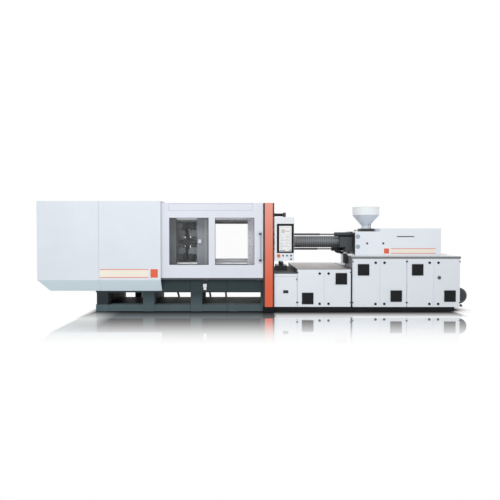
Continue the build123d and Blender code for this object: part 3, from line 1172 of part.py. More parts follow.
CAP_Z = (AXIS_Z - 98.0, AXIS_Z + 118.0)
CAP_R = 46.0
CAP_OUT = 6.0
HOPPER_R = 291.0
HOPPER_BASE_TOP = HOUSING_LOW + 67.0
HOPPER_NECK_R = 90.0
HOPPER_NECK_Z = HOPPER_BASE_TOP + 65.0
HOPPER_SHOULDER = HOPPER_NECK_Z + 234.0
HOPPER_TOP = HOPPER_SHOULDER + 178.0
HOPPER_WALL = 4.0
RIM_H = 14.0
RIM_OUT = 5.0
HOPPER_FLANGE_R = 118.0
HOPPER_FLANGE_T = 12.0
HOPPER_BASE_X = (FEED_X - 147.0, FEED_X + 147.0)
HOPPER_BASE_HALF = 130.0
GATE_Z = (HOUSING_LOW + 18.0, HOUSING_LOW + 28.0)
GATE_HALF = 62.0
GATE_LEFT_X = FEED_X - 228.0

with BuildPart() as carriage_rods:
    for side in SIDES:
        rod_z_at = AXIS_Z - side * ROD_RISE
        rod_x((FIXED_BACK_X, ROD_STEP_X), side * ROD_Y, rod_z_at, ROD_THICK_R)
        rod_x((ROD_STEP_X, ROD_CYL_X[0] + CARRIAGE_TRAVEL + 20), side * ROD_Y, rod_z_at, ROD_THIN_R)
save(carriage_rods, "carriage_rods")

with BuildPart() as carriage_cylinders:
    for side in SIDES:
        rod_z_at = AXIS_Z - side * ROD_RISE
        rod_x(ROD_CYL_X, side * ROD_Y, rod_z_at, ROD_CYL_R)
        bore_x = (ROD_CYL_X[0], ROD_CYL_X[1] - ROD_END_IN)
        rod_x(bore_x, side * ROD_Y, rod_z_at, ROD_THIN_R + RUNNING_FIT, Mode.SUBTRACT)
save(carriage_cylinders, "carriage_cylinders")

# Injection carriage: thrust housing, sled on the bed's ways, feed block and rear stock
SLED_BOTTOM = BED_TOP + BED_WAY_T + SLIDE_GAP
with BuildPart() as injection_carriage:
    for side in SIDES:
        runner_y = (side * (BED_WAY_Y[0] - RUNNER_LAP), side * (BED_WAY_Y[1] + RUNNER_LAP))
        block(SLED_X, runner_y, (SLED_BOTTOM, SLED_BOTTOM + SLED_T))
    sled_z = (SLED_BOTTOM, SLED_BOTTOM + SLED_T)
    sled_half = BED_WAY_Y[1] + RUNNER_LAP
    for stock_x in (STOCK_X, REAR_STOCK_X):
        block(stock_x, (-sled_half, sled_half), sled_z)
        block(stock_x, (-STOCK_HALF, STOCK_HALF), (SLED_BOTTOM, STOCK_TOP))
    thrust_z = (AXIS_Z - THRUST_HALF, AXIS_Z + THRUST_HALF)
    block((THRUST_X[0], STOCK_X[0]), (-THRUST_HALF, THRUST_HALF), thrust_z)
    hood_y = ROD_Y + ROD_CYL_R + HOOD_INSET
    hood_z = (thrust_z[0] + HOOD_INSET, thrust_z[1] - HOOD_INSET)
    block(THRUST_X, (-hood_y, hood_y), hood_z)
    for side in SIDES:
        foot_y = (side * FOOT_IN_Y, side * hood_y)
        block((THRUST_FOOT_LEFT, THRUST_X[1] + 40), foot_y, (sled_z[1], hood_z[0]))
        tongue_y = (side * FOOT_IN_Y, side * sled_half)
        block((THRUST_X[1] - 30, SLED_X[0] + 60), tongue_y, sled_z)
    rod_x((THRUST_X[0], STOCK_X[1]), 0, AXIS_Z, BARREL_R + RUNNING_FIT, Mode.SUBTRACT)
    for side in SIDES:
        seat_z = AXIS_Z - side * ROD_RISE
        rod_x(ROD_CYL_X, side * ROD_Y, seat_z, ROD_CYL_R + RUNNING_FIT, Mode.SUBTRACT)
    rod_z(FEED_X, 0, (AXIS_Z, STOCK_TOP), FEED_R, Mode.SUBTRACT)
save(injection_carriage, "injection_carriage")

with BuildPart() as barrel:
    rod_x((NOZZLE_BACK_X, BARREL_BACK_X), 0, AXIS_Z, BARREL_R)
    rod_x((NOZZLE_BACK_X, BARREL_BACK_X), 0, AXIS_Z, BARREL_BORE_R + SCREW_CLEAR, Mode.SUBTRACT)
    rod_z(FEED_X, 0, (AXIS_Z, AXIS_Z + BARREL_R), FEED_R - 5, Mode.SUBTRACT)
save(barrel, "barrel")

with BuildPart() as nozzle:
    with BuildSketch(Plane.XZ):
        with BuildLine():
            Polyline(
                (NOZZLE_TIP_X, AXIS_Z + 4),
                (NOZZLE_TIP_X, AXIS_Z + NOZZLE_TIP_R),
                (NOZZLE_TIP_X + 60, AXIS_Z + NOZZLE_R),
                (NOZZLE_BACK_X - 60, AXIS_Z + NOZZLE_R),
                (NOZZLE_BACK_X - 60, AXIS_Z + BARREL_R),
                (NOZZLE_BACK_X, AXIS_Z + BARREL_R),
                (NOZZLE_BACK_X, AXIS_Z + 10),
                close=True,
            )
        make_face()
    revolve(axis=Axis((0, 0, AXIS_Z), (1, 0, 0)))
save(nozzle, "nozzle")

# Screw: pointed root with one flight wound on it, its shank in the screw drive
SCREW_ROOT_R = 26.0
SCREW_POINT = 60.0
FLIGHT_PITCH = 68.0
FLIGHT_T = 7.0
FLIGHT_SINK = 1.0        # of the flight into the root
FLIGHT_CLEAR = 0.1       # to the bore
SCREW_BACK_X = DRIVE_BLOCK_X[0] + 90
with BuildPart() as screw:
    with BuildSketch(Plane.XZ):
        with BuildLine():
            Polyline(
                (SCREW_TIP_X, AXIS_Z),
                (SCREW_TIP_X + SCREW_POINT, AXIS_Z + SCREW_ROOT_R),
                (SCREW_BACK_X, AXIS_Z + SCREW_ROOT_R),
                (SCREW_BACK_X, AXIS_Z),
                close=True,
            )
        make_face()
    revolve(axis=Axis((0, 0, AXIS_Z), (1, 0, 0)))
    flight_x = SCREW_TIP_X + SCREW_POINT + FLIGHT_T
    turns = int((BARREL_BACK_X - FLIGHT_T - flight_x) / FLIGHT_PITCH)
    inner_r = SCREW_ROOT_R - FLIGHT_SINK
    outer_r = BARREL_BORE_R + SCREW_CLEAR - FLIGHT_CLEAR
    with BuildLine() as winding:
        Helix(
            pitch=FLIGHT_PITCH,
            height=turns * FLIGHT_PITCH,
            radius=(inner_r + outer_r) / 2,
            center=(flight_x, 0, AXIS_Z),
            direction=(1, 0, 0),
        )
    start = winding.line @ 0
    outward = Vector(0, start.Y, start.Z - AXIS_Z)
    with BuildSketch(Plane(origin=start, x_dir=outward, z_dir=winding.line % 0)) as flight:
        Rectangle(outer_r - inner_r, FLIGHT_T)
    sweep(flight.sketch, path=winding.line, is_frenet=True)
save(screw, "screw")

# Screw drive: slides between the feed block and the rear stock
with BuildPart() as screw_drive:
    drive_half = (-DRIVE_BLOCK_HALF, DRIVE_BLOCK_HALF)
    drive_z = (AXIS_Z - DRIVE_BLOCK_HALF / 2, AXIS_Z + DRIVE_BLOCK_HALF / 2)
    block(DRIVE_BLOCK_X, drive_half, drive_z)
    for side in SIDES:
        skid_y = (side * (DRIVE_BLOCK_HALF - SKID_W), side * (BED_WAY_Y[1] - RUNNER_LAP))
        block(DRIVE_BLOCK_X, skid_y, (SLED_BOTTOM + SLED_T + SLIDE_GAP, drive_z[0] + SKID_W))
    shaft_bore = (DRIVE_BLOCK_X[0], SCREW_BACK_X + 2)
    rod_x(shaft_bore, 0, AXIS_Z, SCREW_ROOT_R + RUNNING_FIT, Mode.SUBTRACT)
save(screw_drive, "screw_drive")

# Barrel guard: ribbed heat shield round the barrel, closed to the barrel at its ends
with BuildPart() as barrel_guard:
    with BuildSketch(Plane.XZ):
        panel(GUARD_X, (AXIS_Z + GUARD_R - GUARD_SHEET, AXIS_Z + GUARD_R))
        ribs = int((GUARD_X[1] - GUARD_X[0]) // GUARD_PITCH)
        for rib in range(ribs):
            rib_x = GUARD_X[0] + 20 + rib * GUARD_PITCH
            panel((rib_x, rib_x + GUARD_PITCH / 2), (AXIS_Z + GUARD_R - 1, AXIS_Z + GUARD_R + GUARD_RIB))
        for end_x in (GUARD_X[0], GUARD_X[1] - GUARD_SHEET):
            panel((end_x, end_x + GUARD_SHEET), (AXIS_Z + BARREL_R + RUNNING_FIT, AXIS_Z + GUARD_R))
    revolve(axis=Axis((0, 0, AXIS_Z), (1, 0, 0)))
save(barrel_guard, "barrel_guard")


def housing_profile(inset):
    """Stepped side view of the injection housing, inset from its outer faces."""
    with BuildLine() as outline:
        Polyline(
            (HOUSING_X[0] + inset, HOUSING_FOOT),
            (HOUSING_X[0] + inset, HOUSING_LOW - inset),
            (HOUSING_STEP_X + inset, HOUSING_LOW - inset),
            (HOUSING_STEP_X + inset, HOUSING_TOP - inset),
            (HOUSING_X[1] - inset, HOUSING_TOP - inset),
            (HOUSING_X[1] - inset, HOUSING_FOOT),
            close=True,
        )
    make_face(outline.edges())


# Housing cover: sheet hood over the injection carriage, stepped down under the hopper
with BuildPart() as housing_cover:
    with BuildSketch(Plane.XZ.offset(HOUSING_HALF)):
        housing_profile(0)
    extrude(amount=-2 * HOUSING_HALF)
    with BuildSketch(Plane.XZ.offset(HOUSING_HALF - SHEET)):
        housing_profile(SHEET)
    extrude(amount=-2 * (HOUSING_HALF - SHEET), mode=Mode.SUBTRACT)
    end_wall = (HOUSING_X[0], HOUSING_X[0] + SHEET)
    sleeve_y = BED_WAY_Y[1] + 12
    block(end_wall, (-sleeve_y, sleeve_y), (HOUSING_FOOT, SLED_BOTTOM + SLED_T + 2), Mode.SUBTRACT)
    block(end_wall, (-hood_y, hood_y), (HOUSING_FOOT, AXIS_Z + SLEEVE_R + 40), Mode.SUBTRACT)
    far_wall = (HOUSING_X[1] - SHEET, HOUSING_X[1])
    for side in SIDES:
        notch_y = (side * (BED_WAY_Y[0] - 5), side * (BED_WAY_Y[1] + 5))
        block(far_wall, notch_y, (HOUSING_FOOT, BED_TOP + BED_WAY_T + 3), Mode.SUBTRACT)
    rod_z(FEED_X, 0, (HOUSING_LOW - SHEET, HOUSING_LOW), HOPPER_NECK_R + 10, Mode.SUBTRACT)
    for cap_z in CAP_Z:
        rod_y(CAP_X, (-HOUSING_HALF - CAP_OUT, -HOUSING_HALF), cap_z, CAP_R)
save(housing_cover, "housing_cover")

# Hopper base: throat block on the feed block, slotted for the shut-off slide
with BuildPart() as hopper_base:
    block(HOPPER_BASE_X, (-HOPPER_BASE_HALF, HOPPER_BASE_HALF), (HOUSING_LOW, HOPPER_BASE_TOP))
    rod_z(FEED_X, 0, (STOCK_TOP, HOUSING_LOW), HOPPER_NECK_R)
    rod_z(FEED_X, 0, (STOCK_TOP, HOPPER_BASE_TOP), FEED_R, Mode.SUBTRACT)
    slot_x = (HOPPER_BASE_X[0], FEED_X + FEED_R + 20)
    slot_half = GATE_HALF + SLIDE_GAP
    slot_z = (GATE_Z[0] - SLIDE_GAP, GATE_Z[1] + SLIDE_GAP)
    block(slot_x, (-slot_half, slot_half), slot_z, Mode.SUBTRACT)
    lever_x = FEED_X + 75
    rod_z(lever_x, -HOPPER_BASE_HALF + 20, (HOPPER_BASE_TOP, HOPPER_BASE_TOP + 94), 7)
save(hopper_base, "hopper_base")

with BuildPart() as shutoff_slide:
    block((GATE_LEFT_X, FEED_X + FEED_R + 18), (-GATE_HALF, GATE_HALF), GATE_Z)
    block((GATE_LEFT_X - 14, GATE_LEFT_X), (-GATE_HALF, GATE_HALF), (GATE_Z[0] - 8, GATE_Z[1] + 12))
save(shutoff_slide, "shutoff_slide")

with BuildPart() as hopper:
    with BuildSketch(Plane.XZ):
        flange_top = HOPPER_BASE_TOP + HOPPER_FLANGE_T
        with BuildLine():
            Polyline(
                (FEED_X + FEED_R, HOPPER_BASE_TOP),
                (FEED_X + HOPPER_FLANGE_R, HOPPER_BASE_TOP),
                (FEED_X + HOPPER_FLANGE_R, flange_top),
                (FEED_X + HOPPER_NECK_R, flange_top),
                (FEED_X + HOPPER_NECK_R, HOPPER_NECK_Z),
                (FEED_X + HOPPER_R, HOPPER_SHOULDER),
                (FEED_X + HOPPER_R, HOPPER_TOP - RIM_H),
                (FEED_X + HOPPER_R + RIM_OUT, HOPPER_TOP - RIM_H),
                (FEED_X + HOPPER_R + RIM_OUT, HOPPER_TOP),
                (FEED_X + HOPPER_R - HOPPER_WALL, HOPPER_TOP),
                (FEED_X + HOPPER_R - HOPPER_WALL, HOPPER_SHOULDER + 2),
                (FEED_X + HOPPER_NECK_R - HOPPER_WALL, HOPPER_NECK_Z + 2),
                (FEED_X + FEED_R, HOPPER_NECK_Z - 30),
                close=True,
            )
        make_face()
    revolve(axis=Axis((FEED_X, 0, 0), (0, 0, 1)))
save(hopper, "hopper")
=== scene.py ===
import math
from typing import NamedTuple

import bmesh
import bpy
from mathutils import Matrix, Vector


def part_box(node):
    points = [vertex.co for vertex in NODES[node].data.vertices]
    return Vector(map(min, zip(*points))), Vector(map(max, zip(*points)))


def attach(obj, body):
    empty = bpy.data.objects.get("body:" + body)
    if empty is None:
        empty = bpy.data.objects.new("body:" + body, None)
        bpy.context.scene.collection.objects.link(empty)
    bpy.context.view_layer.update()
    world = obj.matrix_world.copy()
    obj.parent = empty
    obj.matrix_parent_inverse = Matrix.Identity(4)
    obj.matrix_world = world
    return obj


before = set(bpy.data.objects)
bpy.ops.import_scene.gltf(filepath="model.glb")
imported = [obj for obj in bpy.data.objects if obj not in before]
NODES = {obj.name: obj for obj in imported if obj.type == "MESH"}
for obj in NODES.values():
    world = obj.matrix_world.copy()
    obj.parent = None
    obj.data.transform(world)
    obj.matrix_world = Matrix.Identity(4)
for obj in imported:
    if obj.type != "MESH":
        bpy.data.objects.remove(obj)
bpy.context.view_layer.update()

# An injection moulding machine in a white studio. Metres, +X to the injection end, -Y to the operator.
SCENE = bpy.context.scene

# Photograph: camera place and lens
PHOTO_SIDE = 500.0
FOCAL_PX = 400.0
HORIZON_PX = 233.0
TILT_PX = 7.0
CAMERA_X = -0.082
CAMERA_Y = -9.0
CAMERA_Z = 1.6
SENSOR = 36.0

# Finishes, as linear colours
WHITE = (0.765, 0.815, 0.875)
# Painted shade: the cover white darkened for the covers' sloped foot
SLOPE_SHADE_WHITE = (0.66, 0.77, 0.835)
DOOR_WHITE = (0.745, 0.775, 0.855)
CABINET_WHITE = (0.80, 0.845, 0.90)
# Painted light: the cover white brightened to make up for light falling off at the housing
HOUSING_LIT_WHITE = (0.84, 0.89, 0.95)
HOPPER_WHITE = (0.92, 0.96, 1.0)
# Painted shade: the hopper white darkened for its downward-facing cone
CONE_SHADE_WHITE = (0.68, 0.75, 0.83)
# White paint of the bed plate's top, brightened as a painted sheen of the bright backdrop
BED_SHEEN_WHITE = (0.93, 0.94, 0.95)
SLATE = (0.088, 0.126, 0.140)
# Painted shade on the clamp base: darker upwards under the covers, and the covers' painted shadow on its
# first column
UPPER_SHADE_SLATE = (0.038, 0.056, 0.062)
COVER_SHADOW_SLATE = (0.028, 0.038, 0.043)
ORANGE_LOW = (0.74, 0.115, 0.045)
# Painted highlight: the paler orange towards the pillars' tops
ORANGE_HIGHLIGHT = (0.81, 0.33, 0.26)
ACCENT = (0.80, 0.13, 0.045)
CREAM = (0.93, 0.88, 0.76)
CAP_BLUE = (0.36, 0.44, 0.50)
# Painted shade: grey for the white cabinets' walls that lie in shade
WALL_SHADE_GREY = (0.16, 0.175, 0.20)
PLATE_GREY = (0.20, 0.215, 0.225)
HANDLE_GREY = (0.34, 0.38, 0.43)
CASTING = (0.72, 0.72, 0.80)
PLATEN_GREY = (0.26, 0.285, 0.32)
TAILSTOCK_GREY = (0.21, 0.225, 0.24)
CARRIAGE_GREY = (0.062, 0.072, 0.076)
STEEL = (0.56, 0.57, 0.60)
CHROME = (0.72, 0.73, 0.76)
TIE_BAR_STEEL = (0.47, 0.48, 0.50)
# Painted shade: darker copies of the tie-bar steel for the lower bars and the upper bars' undersides
LOW_BAR_SHADE_STEEL = (0.35, 0.355, 0.37)
UNDERSIDE_SHADE_STEEL = (0.15, 0.155, 0.16)
RIB_STEEL = (0.27, 0.285, 0.30)
# Painted shade in the barrel guard's grooves
GROOVE_SHADE_STEEL = (0.18, 0.195, 0.205)
TREAD_STEEL = (0.33, 0.32, 0.31)
WORN_STEEL = (0.66, 0.65, 0.64)
DARK_STEEL = (0.10, 0.105, 0.115)
LINK_STEEL = (0.050, 0.054, 0.060)
TOP_DARK = (0.055, 0.058, 0.062)
GRAPHITE = (0.035, 0.04, 0.046)
# Painted shade inside the clamp base's product bay
PRODUCT_BAY_SHADE = (0.030, 0.034, 0.036)
BLACK = (0.018, 0.019, 0.022)
PLINTH_BLACK = (0.010, 0.012, 0.014)
# Painted shade inside the clamp base's other bays
INSIDE_SHADE_BLACK = (0.009, 0.011, 0.012)
FOOT_BLACK = (0.008, 0.010, 0.012)


class Finish:
    """A material's nodes, added and joined by short calls."""

    def __init__(self, name):
        self.material = bpy.data.materials.new(name)
        self.material.use_nodes = True
        self.tree = self.material.node_tree
        self.shader = self.tree.nodes["Principled BSDF"]
        self.place = self.tree.nodes.new("ShaderNodeTexCoord").outputs["Object"]

    def add(self, kind, inputs, **settings):
        """A node with its settings, and its inputs given as values or as other nodes' outputs."""
        made = self.tree.nodes.new(kind)
        for key, value in settings.items():
            setattr(made, key, value)
        for key, value in inputs.items():
            self.feed(made.inputs[key], value)
        return made

    def feed(self, socket, value):
        """Gives a socket a value, or joins it to another node's output."""
        if isinstance(value, bpy.types.NodeSocket):
            self.tree.links.new(value, socket)
        else:
            socket.default_value = value

    def set(self, name, value):
        """Gives the shader's own socket a value or a link."""
        self.feed(self.shader.inputs[name], value)

    def noise(self, scale, detail=2.0, stretch=(1, 1, 1)):
        """Noise over the object, scale being waves per metre."""
        place = self.add("ShaderNodeMapping", {"Vector": self.place, "Scale": stretch}).outputs["Vector"]
        inputs = {"Vector": place, "Scale": scale, "Detail": detail}
        return self.add("ShaderNodeTexNoise", inputs).outputs["Fac"]

    def remap(self, value, low, high, start=0.3, end=0.7):
        """A value from start to end, spread from low to high."""
        inputs = {"Value": value, "From Min": start, "From Max": end, "To Min": low, "To Max": high}
        return self.add("ShaderNodeMapRange", inputs).outputs["Result"]

    def maths(self, operation, a, b=0.0, c=0.0):
        """One step of arithmetic."""
        return self.add("ShaderNodeMath", {0: a, 1: b, 2: c}, operation=operation).outputs[0]

    def mix(self, factor, a, b):
        """Colour a where the factor is 0 and b where it is 1."""
        made = self.add("ShaderNodeMix", {"Factor": factor}, data_type="RGBA")
        self.feed(made.inputs[6], a)
        self.feed(made.inputs[7], b)
        return made.outputs[2]

    def axis(self, letter):
        """The object coordinate along X, Y or Z, in metres."""
        split = self.tree.nodes.new("ShaderNodeSeparateXYZ")
        self.tree.links.new(self.place, split.inputs[0])
        return split.outputs[letter]

    def between(self, letter, low, high):
        """1 where a coordinate lies between two values, else 0."""
        return self.maths("COMPARE", self.axis(letter), (low + high) / 2, abs(high - low) / 2)

    def within(self, **ranges):
        """1 inside a block given by its ranges along X, Y and Z, else 0."""
        inside = None
        for letter, (low, high) in ranges.items():
            here = self.between(letter, low, high)
            inside = here if inside is None else self.maths("MULTIPLY", inside, here)
        return inside

    def over(self, mask, colour):
        """Lays a colour over the one so far, where the mask is 1."""
        shown = self.shader.inputs["Base Color"].links[0].from_socket
        self.set("Base Color", self.mix(mask, shown, solid(colour)))

    def varied(self, colour, factor, amount):
        """The colour, a little darker and lighter by the factor."""
        dark = [c * (1 - amount) for c in colour[:3]] + [1]
        light = [min(1.0, c * (1 + amount)) for c in colour[:3]] + [1]
        return self.mix(factor, dark, light)

    def bump(self, height, strength, distance):
        """Gives the shader's normal small relief."""
        inputs = {"Height": height, "Strength": strength, "Distance": distance}
        self.set("Normal", self.add("ShaderNodeBump", inputs).outputs["Normal"])


def solid(colour):
    """A colour as four numbers."""
    return [*colour[:3], 1.0]


class Texture(NamedTuple):
    """How a surface changes over its area. A noise is its waves per metre and its detail."""

    clouds: tuple  # of the colour
    gloss: tuple  # of the roughness
    relief: tuple  # of the normal
    smoother: float  # most taken from the roughness
    rougher: float  # most added to it
    strength: float  # share of the relief that shows
    depth: float  # metres of relief


POWDER_COAT = Texture((1.3, 3), (11, 3), (320, 2), 0.04, 0.08, 0.10, 0.0004)
MACHINED = Texture((6, 4), (60, 3), (240, 2), 0.06, 0.10, 0.12, 0.0002)
SPARK_ERODED = Texture((7, 3), (30, 3), (900, 2), 0.05, 0.07, 0.15, 0.0002)
SAND_CAST = Texture((4, 5), (18, 4), (120, 4), 0.05, 0.12, 0.25, 0.0006)
EVEN_GRAIN = (1, 1, 1)
GRAIN_ALONG_X = (0.05, 1, 1)


def surface(name, colour, texture, roughness, vary, grain=EVEN_GRAIN, specular=0.5):
    """A finish whose colour, roughness and relief change as its texture says."""
    made = Finish(name)
    made.set("Base Color", made.varied(colour, made.remap(made.noise(*texture.clouds, grain), 0, 1), vary))
    least, most = roughness - texture.smoother, roughness + texture.rougher
    made.set("Roughness", made.remap(made.noise(*texture.gloss, grain), least, most))
    made.set("Specular IOR Level", specular)
    made.bump(made.noise(*texture.relief, grain), texture.strength, texture.depth)
    return made


def paint(name, colour, roughness=0.36, vary=0.02, specular=0.5):
    """Powder coat: orange peel, slightly uneven gloss, a trace of colour change."""
    return surface(name, colour, POWDER_COAT, roughness, vary, specular=specular)


def metal(name, colour, roughness=0.3, grain=EVEN_GRAIN, vary=0.06):
    """Machined metal with a fine grain along one axis."""
    made = surface(name, colour, MACHINED, roughness, vary, grain)
    made.set("Metallic", 1.0)
    return made


def plastic(name, colour, roughness=0.45, specular=0.5):
    """Moulded plastic with a fine spark-eroded texture."""
    return surface(name, colour, SPARK_ERODED, roughness, 0.03, specular=specular)


def cast(name, colour):
    """Painted casting: pitted where it is rough."""
    return surface(name, colour, SAND_CAST, 0.45, 0.07)


# Materials that more than one piece has
door_paint = paint("door_paint", DOOR_WHITE)
cabinet_paint = paint("cabinet_paint", CABINET_WHITE)
black_paint = paint("black_paint", GRAPHITE, roughness=0.4, vary=0.08)
bright_steel = metal("bright_steel", STEEL, 0.28)
dark_steel = metal("dark_steel", DARK_STEEL, 0.38)
link_steel = metal("link_steel", LINK_STEEL, 0.42)
black_plastic = plastic("black_plastic", (0.008, 0.009, 0.010), 0.5, specular=0.2)
rubber = plastic("rubber", (0.02, 0.02, 0.02), 0.7)

# Places that second colours need, from the edges of the CAD solids
FAR = 4.0  # past the machine, where a range has no end
EDGE = 0.01  # past an outer edge, to be clear of it
SKIN = 0.0004  # past a flat face, to take it in
PILLAR_FADE = 0.45  # pillar's foot to where the painted highlight starts to pale its orange
ORANGE_SHIFT = 0.002  # middle of the orange face, right of the pillar's middle
ORANGE_HALF = 0.0805  # half its width, between the trim strips
SLOPE_DROP = 0.039  # front door's lower edge to the top of the covers' slope
CONE_Z = (0.010, 0.299)  # of the hopper's cone, above the hopper's foot
UNDERSIDE_Z = (0.300, 0.050)  # of the painted shade on the upper tie bars' undersides, below their tops
LOW_BARS_DROP = 0.7  # tie bars' top to above the lower bars, which are in painted shade
RIB_START = 0.020  # barrel guard's end to its first rib
RIB_PITCH = 0.048
RIB_WIDTH = 0.0245
PULL_X = (0.1773, 0.2828)  # of the low door's flush pull, from the door's lower left corner
PULL_Z = (0.2747, 0.3353)
SILL_FADE = (0.12, 0.36)  # heights over which painted shade darkens the clamp base upwards
SILL_TOP = 0.142
BEAM_FOOT = 0.389  # underside of the upper beam
FIRST_COLUMN = 0.292  # base's left end to the first column's right side, where the covers' painted shadow ends
BASE_INSIDE_Y = (-0.714, 0.70)
PRODUCT_BAY_X = (-0.62, 0.18)
KNUCKLE = 0.034  # height of a hinge knuckle
HINGE_FROM_END = 0.090  # door's end to its hinge
KNUCKLE_BACK = 0.0196  # from the knuckles' front to just before the carcass
STEP_X = 0.0022  # low door's right edge to the step up to the middle cabinet
STEP_WALL = (0.006, 0.003)  # of the wall at the step, left and right of it
LOW_TOP_RISE = 0.0564  # low door's upper edge to the low cabinet's top
STEP_WALL_RISE = 0.058
NOTCH_X = 0.171  # right cabinet's left side to the end of its notch
NOTCH_Y = (-0.2265, 0.15)
NOTCH_Z = (0.85, 1.2)
BED_EDGE = 0.0457  # bed plate's lower face to its white top, which has painted sheen
CAP_REACH = 0.12  # housing's left end to past both caps
CAP_OUT = 0.006  # of the caps, in front of the housing
CAP_COLOURED = 0.0058  # of their thickness, so that the housing stays white
GRAPHITE_Z = (1, 1.60)  # of the housing's dark left side
HANDLE_END = 0.034  # of the door handle's black ends


def pillar_paint():
    """Orange pillar with a black trim strip down each side, its orange paling upwards as a painted
    highlight.
    """
    made = paint("pillar_paint", ORANGE_LOW, roughness=0.34)
    low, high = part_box("pillars")
    rise = made.remap(made.axis("Z"), 0, 1, low.z + PILLAR_FADE, high.z)
    orange = made.mix(rise, solid(ORANGE_LOW), solid(ORANGE_HIGHLIGHT))
    face = made.maths("COMPARE", made.axis("X"), (low.x + high.x) / 2 + ORANGE_SHIFT, ORANGE_HALF)
    made.set("Base Color", made.mix(face, solid(BLACK), orange))
    return made


def cover_finish():
    """White clamp covers, with painted shade along their sloped foot."""
    made = paint("cover_paint", WHITE)
    made.over(made.within(Z=(0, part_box("front_door")[0].z - SLOPE_DROP)), SLOPE_SHADE_WHITE)
    return made


def hopper_finish():
    """White hopper with painted shade on its downward-facing cone."""
    made = paint("hopper_paint", HOPPER_WHITE, 0.25)
    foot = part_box("hopper")[0].z
    made.over(made.within(Z=(foot + CONE_Z[0], foot + CONE_Z[1])), CONE_SHADE_WHITE)
    return made


def tie_bar_finish():
    """Ground steel, with painted shade on the lower bars and under the two upper ones."""
    made = metal("tie_bar_steel", TIE_BAR_STEEL, grain=GRAIN_ALONG_X)
    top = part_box("tie_bars")[1].z
    made.over(made.within(Z=(top - UNDERSIDE_Z[0], top - UNDERSIDE_Z[1])), UNDERSIDE_SHADE_STEEL)
    made.over(made.within(Z=(0, top - LOW_BARS_DROP)), LOW_BAR_SHADE_STEEL)
    return made


def guard_finish():
    """Ribbed grey sheet, with painted shade between its ribs."""
    made = metal("guard_steel", RIB_STEEL, 0.62)
    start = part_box("barrel_guard")[0].x + RIB_START
    wave = made.maths("MODULO", made.maths("SUBTRACT", made.axis("X"), start), RIB_PITCH)
    made.over(made.maths("GREATER_THAN", wave, RIB_WIDTH), GROOVE_SHADE_STEEL)
    return made


def low_door_finish():
    """White door with a black flush pull."""
    made = paint("low_door_paint", CABINET_WHITE)
    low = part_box("low_door")[0]
    pull = {"X": (low.x + PULL_X[0], low.x + PULL_X[1]), "Z": (low.z + PULL_Z[0], low.z + PULL_Z[1])}
    made.over(made.within(**pull), BLACK)
    return made


def base_finish():
    """Slate paint of the clamp base, with painted shade: darker upwards, on the first column under the
    covers and inside the bays. Black feet under the pillars.
    """
    made = paint("base_paint", SLATE, roughness=0.5, vary=0.10, specular=0.12)
    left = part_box("clamp_base")[0].x
    foot_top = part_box("pillars")[0].z
    bay_left, bay_right = PRODUCT_BAY_X
    made.over(made.remap(made.axis("Z"), 0, 1, *SILL_FADE), UPPER_SHADE_SLATE)
    made.over(made.within(X=(bay_right, FAR), Z=(0, foot_top)), FOOT_BLACK)
    made.over(made.within(X=(-FAR, left + FIRST_COLUMN), Z=(SILL_TOP - SKIN, FAR)), COVER_SHADOW_SLATE)
    made.over(made.within(X=(-FAR, bay_left), Y=BASE_INSIDE_Y, Z=(0, BEAM_FOOT)), INSIDE_SHADE_BLACK)
    made.over(made.within(X=PRODUCT_BAY_X, Y=BASE_INSIDE_Y, Z=(0, BEAM_FOOT)), PRODUCT_BAY_SHADE)
    return made


def knuckles(made, door):
    """Black middles on the cabinet's hinges, at the heights of a door's two hinges."""
    low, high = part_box(door)
    for z in (low.z + HINGE_FROM_END, high.z - HINGE_FROM_END + KNUCKLE):
        middle = (z - KNUCKLE / 2, z + KNUCKLE / 2)
        made.over(made.within(Y=(low.y - EDGE, low.y + KNUCKLE_BACK), Z=middle), BLACK)


def service_finish():
    """Low and middle cabinets: dark top and valves on the low one, painted shade on the wall at the step,
    black hinges.
    """
    made = paint("service_paint", CABINET_WHITE)
    low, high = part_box("low_door")
    step = high.x + STEP_X
    wall = (step - STEP_WALL[0], step + STEP_WALL[1])
    made.over(made.within(X=(low.x - EDGE, step), Z=(high.z + LOW_TOP_RISE, FAR)), TOP_DARK)
    made.over(made.within(X=wall, Z=(high.z + STEP_WALL_RISE, FAR)), WALL_SHADE_GREY)
    knuckles(made, "low_door")
    knuckles(made, "mid_left_door")
    return made


def drive_finish():
    """Right cabinet: left wall and notch in grey painted shade, black hinges."""
    made = paint("drive_paint", CABINET_WHITE)
    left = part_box("drive_cabinet")[0].x
    made.over(made.within(X=(left - EDGE, left + SKIN)), WALL_SHADE_GREY)
    made.over(made.within(X=(left - EDGE, left + NOTCH_X), Y=NOTCH_Y, Z=NOTCH_Z), WALL_SHADE_GREY)
    knuckles(made, "drive_door_1")
    return made


def bed_finish():
    """Bed plate: white above, brightened as painted sheen of the backdrop, and machined grey along its
    edge.
    """
    made = paint("bed_paint", PLATE_GREY, roughness=0.45, vary=0.06)
    made.over(made.within(Z=(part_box("bed_plate")[0].z + BED_EDGE, FAR)), BED_SHEEN_WHITE)
    return made


def housing_finish():
    """White hood, brightened as painted light where the lamps fall off, with two grey-blue caps on its
    front and a dark left side.
    """
    made = paint("housing_paint", HOUSING_LIT_WHITE)
    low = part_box("housing_cover")[0]
    caps = {"X": (low.x, low.x + CAP_REACH), "Y": (low.y - EDGE, low.y + CAP_COLOURED)}
    made.over(made.within(**caps), CAP_BLUE)
    made.over(made.within(X=(low.x - EDGE, low.x + SKIN), Z=GRAPHITE_Z), GRAPHITE)
    return made


def handle_finish():
    """Grey bar between black ends."""
    made = plastic("handle", BLACK, 0.4)
    low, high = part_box("door_handle")
    made.over(made.within(Z=(low.z + HANDLE_END, high.z - HANDLE_END)), HANDLE_GREY)
    return made


